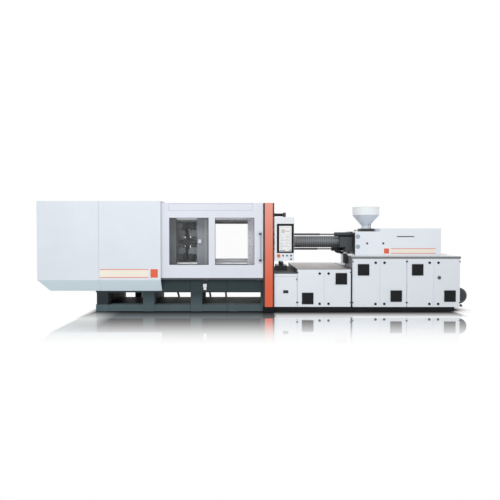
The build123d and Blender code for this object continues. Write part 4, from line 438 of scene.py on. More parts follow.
def glass():
    """Clear polycarbonate pane."""
    made = Finish("clear_pane")
    made.set("Base Color", (0.93, 0.96, 0.97, 1))
    made.set("Roughness", made.remap(made.noise(3), 0.01, 0.05))
    made.set("Alpha", 0.02)
    return made


def tread_finish():
    """Worn plate of the tread cover, raised lozenges apart."""
    made = metal("tread_steel", TREAD_STEEL, 0.5, vary=0.12)
    made.set("Metallic", 0.75)
    return made


COVER_FINISH = cover_finish()
MATERIALS = {
    "clamp_base": base_finish(),
    "levelling_feet": rubber,
    "fixed_platen": cast("casting", CASTING),
    "tie_bars": tie_bar_finish(),
    "door_frames": dark_steel,
    "pillars": pillar_paint(),
    "injection_base": paint("plinth_paint", PLINTH_BLACK, roughness=0.6, vary=0.08, specular=0.15),
    "service_cabinet": service_finish(),
    "drive_cabinet": drive_finish(),
    "tread_plate": tread_finish(),
    "bed_plate": bed_finish(),
    "tailstock": cast("tailstock_paint", TAILSTOCK_GREY),
    "moving_platen": cast("platen_paint", PLATEN_GREY),
    "ejector_rod": metal("chrome_rod", CHROME, 0.14, GRAIN_ALONG_X),
    "front_windows": glass(),
    "rear_windows": glass(),
    "door_handle": handle_finish(),
    "control_panel": plastic("panel_plastic", (0.80, 0.83, 0.87), 0.4),
    "panel_screen": black_plastic,
    "stop_button": plastic("stop_red", (0.75, 0.09, 0.02), 0.3),
    "start_button": plastic("start_green", (0.02, 0.12, 0.09), 0.3),
    "motor_button": plastic("motor_teal", (0.01, 0.17, 0.22), 0.3),
    "heat_button": plastic("heat_blue", (0.015, 0.03, 0.12), 0.3),
    "reset_button": plastic("reset_grey", (0.03, 0.04, 0.08), 0.3),
    "low_door": low_door_finish(),
    "injection_carriage": paint("carriage_paint", CARRIAGE_GREY, roughness=0.42, vary=0.10),
    "barrel_guard": guard_finish(),
    "housing_cover": housing_finish(),
    "hopper": hopper_finish(),
    "screw_drive": paint("slate_paint", SLATE, roughness=0.42, vary=0.10),
}
SHARED = {
    COVER_FINISH: ("rear_cover", "middle_cover"),
    door_paint: ("front_door", "rear_door"),
    cabinet_paint: (
        "mid_left_door", "mid_right_door", "drive_door_1", "drive_door_2", "drive_door_3", "drive_door_4",
    ),
    black_paint: ("pump_motor", "panel_arm", "carriage_cylinders", "hopper_base", "shutoff_slide"),
    dark_steel: (
        "tie_bar_nuts", "mould_height_nuts", "carriage_rods", "clamp_cylinder", "ejector_cylinder",
    ),
    bright_steel: ("barrel", "nozzle", "screw"),
    link_steel: (
        "upper_rear_link", "upper_front_link", "upper_cross_link",
        "lower_rear_link", "lower_front_link", "lower_cross_link", "crosshead",
    ),
}
for shared, node_names in SHARED.items():
    for node_name in node_names:
        MATERIALS[node_name] = shared
for node_name, finish in MATERIALS.items():
    mesh = NODES[node_name].data
    mesh.materials.clear()
    mesh.materials.append(finish.material)


def slab(shape, x, y, z, edge=0.0, segments=2):
    """A block between two values on each axis, with rounded edges."""
    low, high = Vector((x[0], y[0], z[0])), Vector((x[1], y[1], z[1]))
    size = high - low
    matrix = Matrix.Translation((low + high) / 2) @ Matrix.Diagonal((*size, 1))
    verts = bmesh.ops.create_cube(shape, size=1, matrix=matrix)["verts"]
    if edge:
        edges = list({e for v in verts for e in v.link_edges})
        bmesh.ops.bevel(shape, geom=edges, offset=edge, segments=segments, affect="EDGES", profile=0.5)


def bar(shape, x, y, z, half_x, half_z, edge=0.0, segments=2):
    """A block round a place on an upright face, y being its range of depth."""
    slab(shape, (x - half_x, x + half_x), y, (z - half_z, z + half_z), edge, segments)


def rod(shape, start, end, radius, sides=32, edge=0.0):
    """A round bar from start to end."""
    start, end = Vector(start), Vector(end)
    along = end - start
    turn = along.to_track_quat("Z", "Y").to_matrix().to_4x4()
    verts = bmesh.ops.create_cone(
        shape, cap_ends=True, segments=sides, radius1=radius, radius2=radius, depth=along.length,
        matrix=Matrix.Translation((start + end) / 2) @ turn,
    )["verts"]
    if edge:
        edges = {e for v in verts for e in v.link_edges}
        rims = [e for e in edges if any(len(f.verts) > 4 for f in e.link_faces)]
        bmesh.ops.bevel(shape, geom=rims, offset=edge, segments=2, affect="EDGES", profile=0.5)


def button(shape, x, y, z, radius, sides=32, edge=0.0):
    """A round bar that stands out from an upright face, from y[0] to y[1]."""
    rod(shape, (x, y[0], z), (x, y[1], z), radius, sides, edge)


def frame_strips(shape, x, y, z, width):
    """Four strips along the inside of a rectangle's edges."""
    slab(shape, (x[0], x[0] + width), y, z)
    slab(shape, (x[1] - width, x[1]), y, z)
    between = (x[0] + width, x[1] - width)
    slab(shape, between, y, (z[0], z[0] + width))
    slab(shape, between, y, (z[1] - width, z[1]))


def sleeve(shape, near, far):
    """Walls between two like rings of corners."""
    for i in range(len(near)):
        j = (i + 1) % len(near)
        shape.faces.new((near[i], near[j], far[j], far[i]))


def hose(shape, points, radius, sides=14, steps=12):
    """A round tube along a smooth curve through the points."""
    points = [Vector(point) for point in points]
    ends = [2 * points[0] - points[1], *points, 2 * points[-1] - points[-2]]
    path = []
    for a, b, c, d in zip(ends, ends[1:], ends[2:], ends[3:]):
        for step in range(steps):
            t = step / steps
            square, cube = 2 * a - 5 * b + 4 * c - d, 3 * b - a - 3 * c + d
            path.append(0.5 * (2 * b + (c - a) * t + square * t**2 + cube * t**3))
    path.append(points[-1])
    rings = []
    side = Vector((0.31, 0.95, 0.05))
    turns = [2 * math.pi * i / sides for i in range(sides)]
    for here, place in enumerate(path):
        along = (path[min(here + 1, len(path) - 1)] - path[max(here - 1, 0)]).normalized()
        side = (side - side.dot(along) * along).normalized()
        across = along.cross(side)
        ring = [place + radius * (math.cos(turn) * side + math.sin(turn) * across) for turn in turns]
        rings.append([shape.verts.new(corner) for corner in ring])
    for ring, after in zip(rings, rings[1:]):
        sleeve(shape, ring, after)
    shape.faces.new(list(reversed(rings[0])))
    shape.faces.new(rings[-1])


def piece(name, body, finish, build, smooth=False):
    """A mesh made by build(shape), riding on a body."""
    shape = bmesh.new()
    build(shape)
    mesh = bpy.data.meshes.new(name)
    shape.to_mesh(mesh)
    shape.free()
    mesh.materials.append(finish.material)
    if smooth:
        mesh.shade_smooth()
        mesh.set_sharp_from_angle(angle=math.radians(35))
    made = bpy.data.objects.new(name, mesh)
    SCENE.collection.objects.link(made)
    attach(made, body)


# Cabinet doors: the middle of each vent in the frame, and the sizes of their fittings
VENTS = {
    "mid_left_door": (1.082, 0.279), "mid_right_door": (1.759, 0.677), "drive_door_1": (2.222, 0.853),
    "drive_door_2": (2.888, 0.318), "drive_door_3": (3.320, 0.853), "drive_door_4": (3.980, 0.318),
}
HINGES_LEFT = ("mid_left_door", "drive_door_1", "drive_door_3")
FOLD_DEPTH = 0.020  # door's inner side to its outer sheet
VENT_RIM = 0.0028  # of the CAD vent's rim, in front of the sheet
VENT_HALF = 0.116
VENT_FRAME = 0.010
GRILLE_OUT = 0.009
GRILLE_BACK = 0.0015  # thickness of the sheet behind the blades
FRAME_SUNK = 0.001  # of the grille's frame into that sheet
BLADES = 14
BLADE_SHARE = (0.2, 0.62)  # of the pitch, from a blade's lower edge to its upper one
BLADE_Y = (0.001, 0.004)  # behind the grille's front
LATCH_IN = 0.088
LATCH_LOW = 0.062
LATCH_HIGH = 0.080
LATCH_R = 0.0250
LATCH_OUT = 0.0095
KEY_BAR_Y = (0.0125, 0.009)  # of the key bar, in front of the sheet
KEY_BAR_HALF = (0.002, 0.011)
HINGE_IN = 0.006
SLEEVE_R = 0.0072
SLEEVE_OUT = 0.003
SLEEVE_GAP = 0.0005
DOT_R = 0.0105
DOT_IN = 0.005
DOT_OUT = 0.004
grille_black = plastic("grille_black", (0.012, 0.014, 0.017), 0.5, specular=0.25)


def door_face(door):
    """Front face of a door's sheet, behind its vent, latches and knuckles, without the mesh's rounding."""
    return round(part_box(door)[1].y - FOLD_DEPTH, 4)


def grille(door):
    """Black louvred grille over a door's vent."""
    x, z = VENTS[door]
    face = door_face(door) - VENT_RIM
    outer = face - GRILLE_OUT
    inner = VENT_HALF - VENT_FRAME
    pitch = 2 * inner / BLADES

    def build(shape):
        bar(shape, x, (face - GRILLE_BACK, face), z, VENT_HALF, VENT_HALF)
        across = (x - inner, x + inner)
        frame_y = (outer, face - FRAME_SUNK)
        for start, end in ((-VENT_HALF, -inner), (inner, VENT_HALF)):
            slab(shape, (x + start, x + end), frame_y, (z - VENT_HALF, z + VENT_HALF), 0.002)
            slab(shape, across, frame_y, (z + start, z + end), 0.002)
        blade_y = (outer + BLADE_Y[0], outer + BLADE_Y[1])
        for blade in range(BLADES):
            blade_z = [z - inner + (blade + share) * pitch for share in BLADE_SHARE]
            slab(shape, across, blade_y, blade_z, 0.001, 1)

    piece(f"{door}_grille", door, grille_black, build)


def door_fittings(door):
    """Black latches, hinge sleeves and hinge buttons of one door."""
    low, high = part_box(door)
    face = door_face(door)
    hinge_left = door in HINGES_LEFT
    inward = -1 if hinge_left else 1
    hinge_x = low.x + HINGE_IN if hinge_left else high.x - HINGE_IN
    latch_x = (high.x if hinge_left else low.x) + inward * LATCH_IN

    def build(shape):
        if door in VENTS:
            for z in (low.z + LATCH_LOW, high.z - LATCH_HIGH):
                button(shape, latch_x, (face, face - LATCH_OUT), z, LATCH_R, 32, 0.0015)
                key_bar_y = (face - KEY_BAR_Y[0], face - KEY_BAR_Y[1])
                bar(shape, latch_x, key_bar_y, z, *KEY_BAR_HALF, 0.0008, 1)
        for z in (low.z + HINGE_FROM_END - KNUCKLE, high.z - HINGE_FROM_END):
            foot = Vector((hinge_x, face - SLEEVE_OUT, z + KNUCKLE / 2))
            top = foot + Vector((0, 0, KNUCKLE / 2 - SLEEVE_GAP))
            rod(shape, foot, top, SLEEVE_R, 24, 0.0008)
            dot_x = hinge_x - inward * DOT_IN
            button(shape, dot_x, (face, face - DOT_OUT), z + KNUCKLE, DOT_R, 28, 0.0015)

    piece(f"{door}_fittings", door, black_plastic, build)


for door in VENTS:
    grille(door)
for door in ("low_door", *VENTS):
    door_fittings(door)

# Sliding doors: painted shade round the fields, and window gaskets
PANE_LAP = 0.0137  # of the panes behind the windows' edges
POST_LEFT = {"front_door": -0.9145, "rear_door": -1.269}  # of the post between a door's windows
POST_WIDTH = 0.129
FIELD_IN = (0.166, 0.206)  # door's left and right side to its field
FIELD_BELOW = (0.155, 0.015)  # door's upper edge to its field's foot and top
FIELD_Y = (0.0029, 0.0017)  # of the painted-shade outline, behind the door's face
FIELD_LINE = 0.006
GASKET_Y = (0.0037, -0.0012)
GASKET_GAP = 0.0003
GASKET_WIDTH = 0.008
# Painted shade along the edge of the doors' recessed fields
field_edge_shade = plastic("field_edge_shade", (0.42, 0.46, 0.54), 0.4)


def door_outlines(door, side):
    """Thin grey line of painted shade round a door's recessed field, and black gaskets round its windows.
    """
    low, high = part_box(door)
    pane_low, pane_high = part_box(door.replace("door", "windows"))
    face = -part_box("front_door")[0].y
    post = POST_LEFT[door]
    windows = ((pane_low.x + PANE_LAP, post), (post + POST_WIDTH, pane_high.x - PANE_LAP))
    window_z = (pane_low.z + PANE_LAP + GASKET_GAP, pane_high.z - PANE_LAP - GASKET_GAP)

    def field(shape):
        x = (low.x + FIELD_IN[0], high.x - FIELD_IN[1])
        y = sorted(side * (face - depth) for depth in FIELD_Y)
        frame_strips(shape, x, y, (high.z - FIELD_BELOW[0], high.z - FIELD_BELOW[1]), FIELD_LINE)

    def gaskets(shape):
        y = sorted(side * (face - depth) for depth in GASKET_Y)
        for left, right in windows:
            frame_strips(shape, (left + GASKET_GAP, right - GASKET_GAP), y, window_z, GASKET_WIDTH)

    piece(f"{door}_field", door, field_edge_shade, field)
    piece(f"{door}_gaskets", door, rubber, gaskets)


door_outlines("front_door", -1)
door_outlines("rear_door", 1)

# Plain stripes on the covers
STRIPE_THICK = 0.0008
STRIPE_WIDTH = 0.012
BAND_IN = 0.014  # stripes' outer edge to the band
HOOD_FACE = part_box("housing_cover")[0].y + CAP_OUT
stripe_orange = paint("stripe_orange", ACCENT, roughness=0.4)
stripe_cream = paint("stripe_cream", CREAM, roughness=0.4)


def stripes(name, body, face, x, z, block_x):
    """Two thin stripes with a cream band between, and a plain block at one end."""
    y = (face - STRIPE_THICK, face)

    def lines(shape):
        for bottom in (z[0], z[1] - STRIPE_WIDTH):
            slab(shape, x, y, (bottom, bottom + STRIPE_WIDTH))
        slab(shape, block_x, y, z)

    def band(shape):
        slab(shape, x, y, (z[0] + BAND_IN, z[1] - BAND_IN))

    piece(f"{name}_stripes", body, stripe_orange, lines)
    piece(f"{name}_band", body, stripe_cream, band)


COVER_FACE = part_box("middle_cover")[0].y
stripes("cover", "machine", COVER_FACE, (-3.09, -2.12), (0.705, 0.875), (-2.075, -1.930))
stripes("housing", "carriage", HOOD_FACE, (2.935, 3.890), (1.160, 1.270), (2.785, 2.890))

# Control panel: lit display with plain fields
SCREEN_SIDES = (0.0400, 0.0390)  # screen's left and right edge to the display
SCREEN_ENDS = (0.0290, 0.0400)  # screen's lower and upper edge to the display
DISPLAY_Y = (0.0008, -0.0003)  # in front of the screen's face
PRINT_Y = (0.0012, 0.0006)
BEZEL_Y = (0.0015, 0.0001)  # in front of the panel's face
BEZEL_OUT = (0.007, 0.004)  # past the screen, at its sides and its ends
BEZEL_WIDTH = 0.0065
DRAWING = (0.014, (0.165, 0.030), 0.003)  # display's sides and top to the frame, and its line
DRAWN = ((0.040, 0.120), (0.140, 0.070))  # the mould's picture, from the display's left and top
NOTE = ((0.130, 0.040), (0.120, 0.095))  # beside it, up to the display's right
FOOT_BAR = ((0.010, 0.120), (0.012, 0.030))  # from the display's left and foot
FOOT_FIELD = ((0.050, 0.010), (0.012, 0.034))  # from the display's right and foot
ROWS = 9
ROW_PITCH = 0.030
ROWS_DROP = 0.205  # display's top to the first row
ROW_IN = 0.018
ROW_LENGTHS = (0.05, 0.07, 0.09, 0.11)
ROW_TEXT = (0.005, 0.004)  # height of a row's left and right text
VALUE_LENGTH = 0.082
SQUARES = 4
SQUARES_DROP = 0.225
SQUARE = ((0.130, 0.155), 0.018)
display_white = plastic("display_white", (0.86, 0.87, 0.88), 0.3)
display_grey = plastic("display_grey", (0.30, 0.33, 0.38), 0.3)
display_pale = plastic("display_pale", (0.62, 0.58, 0.54), 0.3)


def panel_display():
    """Pale display in the screen's black frame, with a drawing field, rows and a foot bar."""
    low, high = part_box("panel_screen")
    panel_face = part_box("control_panel")[0].y
    left, right = low.x + SCREEN_SIDES[0], high.x - SCREEN_SIDES[1]
    bottom, top = low.z + SCREEN_ENDS[0], high.z - SCREEN_ENDS[1]
    print_y = [low.y - out for out in PRINT_Y]

    def ground(shape):
        y = [low.y - out for out in DISPLAY_Y]
        slab(shape, (left, right), y, (bottom, top), 0.0004, 1)

    def lines(shape):
        x, z = FOOT_BAR
        slab(shape, (left + x[0], left + x[1]), print_y, (bottom + z[0], bottom + z[1]))
        x, z = FOOT_FIELD
        slab(shape, (right - x[0], right - x[1]), print_y, (bottom + z[0], bottom + z[1]))
        x, z, width = DRAWING
        frame_strips(shape, (left + x, right - x), print_y, (top - z[0], top - z[1]), width)
        for row in range(ROWS):
            z = top - ROWS_DROP - row * ROW_PITCH
            start, end = left + ROW_IN, right - ROW_IN
            slab(shape, (start, start + ROW_LENGTHS[row % 4]), print_y, (z, z + ROW_TEXT[0]))
            slab(shape, (end - VALUE_LENGTH, end), print_y, (z, z + ROW_TEXT[1]))

    def fields(shape):
        x, z = DRAWN
        slab(shape, (left + x[0], left + x[1]), print_y, (top - z[0], top - z[1]))
        x, z = NOTE
        slab(shape, (left + x[0], right - x[1]), print_y, (top - z[0], top - z[1]))
        x, height = SQUARE
        for square in range(SQUARES):
            z = top - SQUARES_DROP - square * 2 * ROW_PITCH
            slab(shape, (left + x[0], left + x[1]), print_y, (z, z + height))

    def bezel(shape):
        x = (low.x - BEZEL_OUT[0], high.x + BEZEL_OUT[0])
        z = (low.z - BEZEL_OUT[1], high.z + BEZEL_OUT[1])
        frame_strips(shape, x, [panel_face - out for out in BEZEL_Y], z, BEZEL_WIDTH)

    piece("bezel", "panel", black_plastic, bezel)
    piece("display", "panel", display_white, ground)
    piece("display_lines", "panel", display_grey, lines)
    piece("display_fields", "panel", display_pale, fields)


panel_display()

# Injection side: grip slot and locks of the hood, main switch, cable channel, hoses
# Grip slot: a black slab of painted shade for the hood's handle recess
GRIP_X = (3.058, 3.430)
GRIP_Z = (1.514, 1.532)
LOCKS_X = (2.423, 2.767)
LOCK_Z = 1.378
LOCK_R = 0.021
SWITCH = (3.762, 0.692)
SWITCH_PLATE_R = 0.036
SWITCH_KNOB_R = 0.022
CHANNEL_X = (1.940, 1.9992)
CHANNEL_Y = (-0.500, -0.300)
CHANNEL_Z = (0.950, 1.150)
CHANNEL_RIBS_Z = (0.985, 1.025, 1.065, 1.105)
CHANNEL_RIB = (0.004, 0.012)  # rib's height and width
GUARD_HOSES = ((-0.170, 0.0), (-0.125, 0.012), (-0.080, 0.024), (-0.035, 0.036))  # y and extra sag
GUARD_HOSE_R = 0.014


def housing_fittings(shape):
    """Grip slot, black as painted shade in the handle recess, and two locks in the hood's front."""
    face = HOOD_FACE
    slab(shape, GRIP_X, (face - 0.003, face), GRIP_Z, 0.0015)
    for x in LOCKS_X:
        button(shape, x, (face - 0.006, face), LOCK_Z, LOCK_R, 32, 0.001)
        bar(shape, x, (face - 0.0075, face - 0.0055), LOCK_Z, 0.002, 0.008)


def main_switch(shape):
    """Rotary switch: plate, knob and handle."""
    x, z = SWITCH
    face = door_face("drive_door_4")
    button(shape, x, (face - 0.006, face), z, SWITCH_PLATE_R, 40, 0.0015)
    button(shape, x, (face - 0.024, face - 0.005), z, SWITCH_KNOB_R, 32, 0.003)
    bar(shape, x, (face - 0.034, face - 0.022), z, 0.006, 0.025, 0.002)


def cable_channel(shape):
    """Channel on the cabinet's left wall for the injection unit's cables."""
    out, width = CHANNEL_RIB
    slab(shape, CHANNEL_X, CHANNEL_Y, CHANNEL_Z, 0.012, 3)
    x = (CHANNEL_X[0] - out, CHANNEL_X[1])
    y = (CHANNEL_Y[0] - out, CHANNEL_Y[1] + out)
    for z in CHANNEL_RIBS_Z:
        slab(shape, x, y, (z, z + width), 0.003)


def injection_hoses(shape):
    """Hoses under the barrel guard, looping to the thrust housing's underside."""
    for y, sag in GUARD_HOSES:
        points = (
            (1.800, y, 1.268), (1.835, y, 1.222 - sag), (1.910, y, 1.196 - sag), (1.985, y, 1.190 - sag),
            (2.040, y, 1.215),
        )
        hose(shape, points, GUARD_HOSE_R)


piece("housing_fittings", "carriage", black_plastic, housing_fittings)
piece("main_switch", "drive_door_4", plastic("switch_grey", (0.10, 0.11, 0.12), 0.4), main_switch, True)
piece("cable_channel", "machine", rubber, cable_channel, True)
piece("injection_hoses", "carriage", rubber, injection_hoses, True)

# Between the sides: cover lip, sleeve of the panel's arm, mat on the low cabinet
LIP_X = (-1.8765, -1.8725)
LIP_HALF = 0.990
LIP_Z = (2.209, 2.2355)
SLEEVE_X = (0.030, 0.148)  # arm's left end to the sleeve's ends
SLEEVE_IN = (0.014, 0.012)  # arm's sides and its faces to the sleeve
COLLARS_X = (0.022, 0.144)
COLLAR_WIDTH = 0.014
COLLAR_OUT = 0.004  # past the sleeve
MAT_RISE = 0.0571  # low door's upper edge to the mat
MAT_THICK = 0.003
MAT_IN = (0.006, 0.012)  # low door's left and right edge to the mat
MAT_FRONT = -0.940
MAT_BACK = 0.860
MAT_HOLE_X = (0.4925, 0.7365)  # of the opening round the valve block
MAT_HOLE_HALF = 0.2525
MAT_SEAM = 0.001
mat_rubber = plastic("mat_rubber", (0.175, 0.178, 0.182), 0.9, specular=0.05)


def cover_lip(shape):
    """Edge strip inside the middle cover's roof, beside the doors."""
    slab(shape, LIP_X, (-LIP_HALF, LIP_HALF), LIP_Z)


def arm_sleeve(shape):
    """Sleeve round the panel's arm, with a collar at each end."""
    low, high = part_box("panel_arm")
    y = (low.y + SLEEVE_IN[0], high.y - SLEEVE_IN[0])
    z = (low.z + SLEEVE_IN[1], high.z - SLEEVE_IN[1])
    slab(shape, [low.x + offset for offset in SLEEVE_X], y, z, 0.012, 3)
    y, z = ((ends[0] - COLLAR_OUT, ends[1] + COLLAR_OUT) for ends in (y, z))
    for x in (low.x + offset for offset in COLLARS_X):
        slab(shape, (x, x + COLLAR_WIDTH), y, z, 0.005)


def low_mat(shape):
    """Drip mat on the low cabinet, in four parts round its valve block."""
    low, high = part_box("low_door")
    foot = high.z + MAT_RISE
    left, right = low.x + MAT_IN[0], high.x - MAT_IN[1]
    hole_left, hole_right = MAT_HOLE_X
    beside = MAT_HOLE_HALF - MAT_SEAM
    for x, y in (
        ((left, right), (MAT_FRONT, -MAT_HOLE_HALF)), ((left, right), (MAT_HOLE_HALF, MAT_BACK)),
        ((left, hole_left), (-beside, beside)), ((hole_right, right), (-beside, beside)),
    ):
        slab(shape, x, y, (foot, foot + MAT_THICK), 0.001, 1)


piece("cover_lip", "machine", COVER_FINISH, cover_lip)
piece("arm_sleeve", "machine", black_plastic, arm_sleeve, True)
piece("low_mat", "machine", mat_rubber, low_mat)

# Clamp side: boxes, duct, tapped holes, hoses, trays and joint lines, with painted shade in the holes, the
# trays and a line under the upper beam
PLATEN_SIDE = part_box("moving_platen")[0].y
BASE_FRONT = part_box("clamp_base")[0].y + 0.120
BASE_BOX_BACK = BASE_FRONT - 0.0053  # just off the base's front
BASE_BOX = ((-1.033, -0.960), (-0.914, BASE_BOX_BACK), (0.500, 0.567))
BASE_PLUG = ((-1.026, -0.967), (-0.900, BASE_BOX_BACK), (0.443, 0.4995))
ON_PLATEN = PLATEN_SIDE - 0.0003
PLATEN_BOX = ((-1.165, -1.100), (PLATEN_SIDE - 0.050, ON_PLATEN), (1.385, 1.465))
PLATEN_DUCT = ((-1.040, -0.9745), (PLATEN_SIDE - 0.016, ON_PLATEN), (0.900, 1.880))
HOLES_X = -0.085
HOLES_Z = (1.86, 1.68, 1.50, 1.32, 1.14, 0.98)
HOLE_R = 0.010
LOOPS = 6
LOOP_PITCH = 0.027
LOOP_Y = 0.545
LOOP_R = 0.0128
BASE_HOSES = ((-1.870, 0.05), (-1.078, 0.03), (-0.680, 0.015))  # x and lean
BASE_HOSE_R = 0.024
TRAY_X = (0.16, -0.665)  # from the base's left end, and in the frame
TRAY_HALF = 0.715
TRAY_FLOOR_Z = (0.002, 0.010)
TRAY_WALL = (0.006, 0.034)  # its thickness and its top
LINE_OUT = 0.0008
LINE_IN = 0.0002
LINE_WIDTH = 0.006
LINES_X = (-1.3015, -1.0780, -0.5495, -0.3460)
BEAM_LINE_Z = (0.406, 0.676)
SILL_LINE_Z = (0.010, 0.138)
# Painted shadow line along the upper beam's lower edge
SHADOW_LINE_X = (-1.870, 0.176)
SHADOW_LINE_Z = (0.398, 0.405)
box_grey = paint("box_grey", (0.78, 0.80, 0.84), 0.4)
duct_grey = paint("duct_grey", (0.34, 0.355, 0.37), 0.4)
# Painted shade: dark discs for the inside of the tapped holes
hole_shade_grey = plastic("hole_shade_grey", (0.10, 0.10, 0.11))
# Painted shade: the trays' black, for the shade under the clamp base
tray_shade_black = plastic("tray_shade_black", (0.007, 0.008, 0.009), 0.9, specular=0.0)


def base_box(shape):
    """Junction box on the base, with its plug part below."""
    slab(shape, *BASE_BOX, 0.004)
    slab(shape, *BASE_PLUG, 0.003)


def platen_box(shape):
    """Junction box on the moving platen's side."""
    slab(shape, *PLATEN_BOX, 0.004)


def platen_duct(shape):
    """Cable duct up the moving platen's side."""
    slab(shape, *PLATEN_DUCT, 0.003)


def platen_holes(shape):
    """Row of tapped holes in the fixed platen's side, as dark discs of painted shade."""
    for z in HOLES_Z:
        button(shape, HOLES_X, (PLATEN_SIDE - 0.0025, PLATEN_SIDE + 0.0002), z, HOLE_R, 24)


def platen_hoses(shape):
    """Hose loops behind the toggle, from the platen's upper corner to its lower one."""
    platen_x, bend_x = -1.192, -1.345
    for i in range(LOOPS):
        x = bend_x - LOOP_PITCH * i
        nest = 0.012 * i
        places = (
            (platen_x, 1.935 - nest), (x + 0.03, 1.80), (x, 1.64), (x, 1.405), (x, 1.17), (x + 0.03, 1.01),
            (platen_x, 0.875 + nest),
        )
        hose(shape, [(px, LOOP_Y, pz) for px, pz in places], LOOP_R)


def base_hoses(shape):
    """Hoses from the clamp base's beam down to the floor."""
    for x, lean in BASE_HOSES:
        points = (
            (x - lean, 0.78, 0.385), (x - 0.5 * lean, 0.80, 0.24), (x + 0.5 * lean, 0.81, 0.11),
            (x + lean, 0.80, 0.012),
        )
        hose(shape, points, BASE_HOSE_R)


def oil_trays_and_shade(shape):
    """Pan on the floor inside the clamp base, with a wall along its front and back, its black standing in
    for the shade under the base.
    """
    x = (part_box("clamp_base")[0].x + TRAY_X[0], TRAY_X[1])
    thick, wall_top = TRAY_WALL
    slab(shape, x, (-TRAY_HALF, TRAY_HALF), TRAY_FLOOR_Z, 0.002)
    for y in (-TRAY_HALF, TRAY_HALF - thick):
        slab(shape, x, (y, y + thick), (TRAY_FLOOR_Z[1], wall_top), 0.002)


def base_joints(shape):
    """Weld and joint lines on the front of the clamp base, and a painted shadow line along its upper
    beam's lower edge.
    """
    y = (BASE_FRONT - LINE_OUT, BASE_FRONT + LINE_IN)
    for x in LINES_X:
        for z in (BEAM_LINE_Z, SILL_LINE_Z):
            slab(shape, (x, x + LINE_WIDTH), y, z)
    slab(shape, SHADOW_LINE_X, y, SHADOW_LINE_Z)


piece("base_box", "machine", box_grey, base_box)
piece("platen_box", "platen", box_grey, platen_box)
piece("platen_duct", "platen", duct_grey, platen_duct)
piece("platen_holes", "machine", hole_shade_grey, platen_holes)
piece("platen_hoses", "platen", rubber, platen_hoses, True)
piece("base_hoses", "machine", rubber, base_hoses, True)
piece("oil_trays_and_shade", "machine", tray_shade_black, oil_trays_and_shade)
piece("base_joints", "machine", black_plastic, base_joints)

# Tread plate: raised lozenges
LOZENGE = Vector((0.062, 0.018, 0.0030))  # length, width and height
LOZENGE_PITCH = 0.078
LOZENGE_START = 0.035  # tread plate's corner to the first lozenge
LOZENGE_MARGIN = 0.04
LOZENGE_TOP = 0.7  # share of the foot that the flat top has


def lozenges(shape):
    """Rows of lozenges, turned left and right in turn."""
    low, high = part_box("tread_plate")
    columns = int((high.x - low.x - LOZENGE_MARGIN) / LOZENGE_PITCH)
    rows = int((high.y - low.y - LOZENGE_MARGIN) / LOZENGE_PITCH)
    for column in range(columns):
        for row in range(rows):
            x = low.x + LOZENGE_START + column * LOZENGE_PITCH
            y = low.y + LOZENGE_START + row * LOZENGE_PITCH
            turn = math.pi / 4 if (column + row) % 2 else -math.pi / 4
            along = Vector((math.cos(turn), math.sin(turn), 0)) * LOZENGE.x / 2
            across = Vector((-math.sin(turn), math.cos(turn), 0)) * LOZENGE.y / 2
            foot = Vector((x, y, high.z))
            top = foot + Vector((0, 0, LOZENGE.z))
            corners = [along, across, -along, -across]
            outer = [shape.verts.new(foot + corner) for corner in corners]
            inner = [shape.verts.new(top + corner * LOZENGE_TOP) for corner in corners]
            sleeve(shape, outer, inner)
            shape.faces.new(inner)


piece("tread_lozenges", "machine", metal("worn_steel", WORN_STEEL, 0.4), lozenges)

# Pump motor: cooling fins
MOTOR_X = 4.207
MOTOR_Z = 0.316
FINS = 36
FIN_INNER = 0.1424
FIN_OUTER = 0.1585
FIN_HALF = 0.0018
FIN_TAPER = 0.6
FIN_ENDS = (0.174, 0.032)  # motor's front and back to the fins
FOOT_ROOM = -0.75  # fins that point lower would meet the motor's foot


def motor_fins(shape):
    """Fins round the motor's barrel, left out over its foot."""
    low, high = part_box("pump_motor")
    start, end = low.y + FIN_ENDS[0], high.y - FIN_ENDS[1]
    for fin in range(FINS):
        turn = 2 * math.pi * fin / FINS
        out = Vector((math.cos(turn), 0, math.sin(turn)))
        if out.z < FOOT_ROOM:
            continue
        across = Vector((-out.z, 0, out.x)) * FIN_HALF
        centre = Vector((MOTOR_X, 0, MOTOR_Z))
        foot, tip = centre + out * FIN_INNER, centre + out * FIN_OUTER
        ring = [foot - across, foot + across, tip + across * FIN_TAPER, tip - across * FIN_TAPER]
        near = [shape.verts.new(corner + Vector((0, start, 0))) for corner in ring]
        far = [shape.verts.new(corner + Vector((0, end, 0))) for corner in ring]
        sleeve(shape, near, far)
        shape.faces.new(list(reversed(near)))
        shape.faces.new(far)


piece("motor_fins", "machine", black_paint, motor_fins)

# Lights and floor
WORLD_LIGHT = 0.62
KEY_PLACE = (-1.5, -8.0, 6.5)
KEY_POWER = 330.0
RIM_PLACE = (2.0, 8.0, 6.0)
RIM_POWER = 130.0
SOFTBOX_SIZE = (9.0, 4.0)
LIGHT_AIM = (0, 0, 1.0)
FLOOR_HALF = 40.0
SHADOW_REACH = 0.40
SHADE_DEEP = 0.20  # of the floor in full shadow
SHADE_OPEN = 0.78  # in the open, before the contact ramps
PLINTH_START = (0.38, 0.44)  # along X, from the clamp base to the plinth
BASE_AHEAD = (0.08, 0.92, 1.55)  # brightness at the start, and the start and end in front
BASE_BEHIND = (-0.98, -0.88)
PLINTH_SIDE = (0.05, 0.95, 1.40)  # brightness at the start, and the start and end from the middle
LEFT_END = (-0.14, 0.04)  # from the base's left end, over which the shadow begins
RIGHT_END = (3.98, 4.12)
MIRROR_START_Y = -1.4
MIRROR_END_Y = -3.4
MIRROR_SHARE = 0.88
MIRROR_ROUGHNESS = 0.02
PLINTH_MIRROR = (0.25, 1.35, 1.55)  # share at the start, and the start and end from the middle
COVER_MIRROR = (0.2, 1.20, 2.40)
COVER_MIRROR_X = (-0.05, 0.55)  # from the base's left end


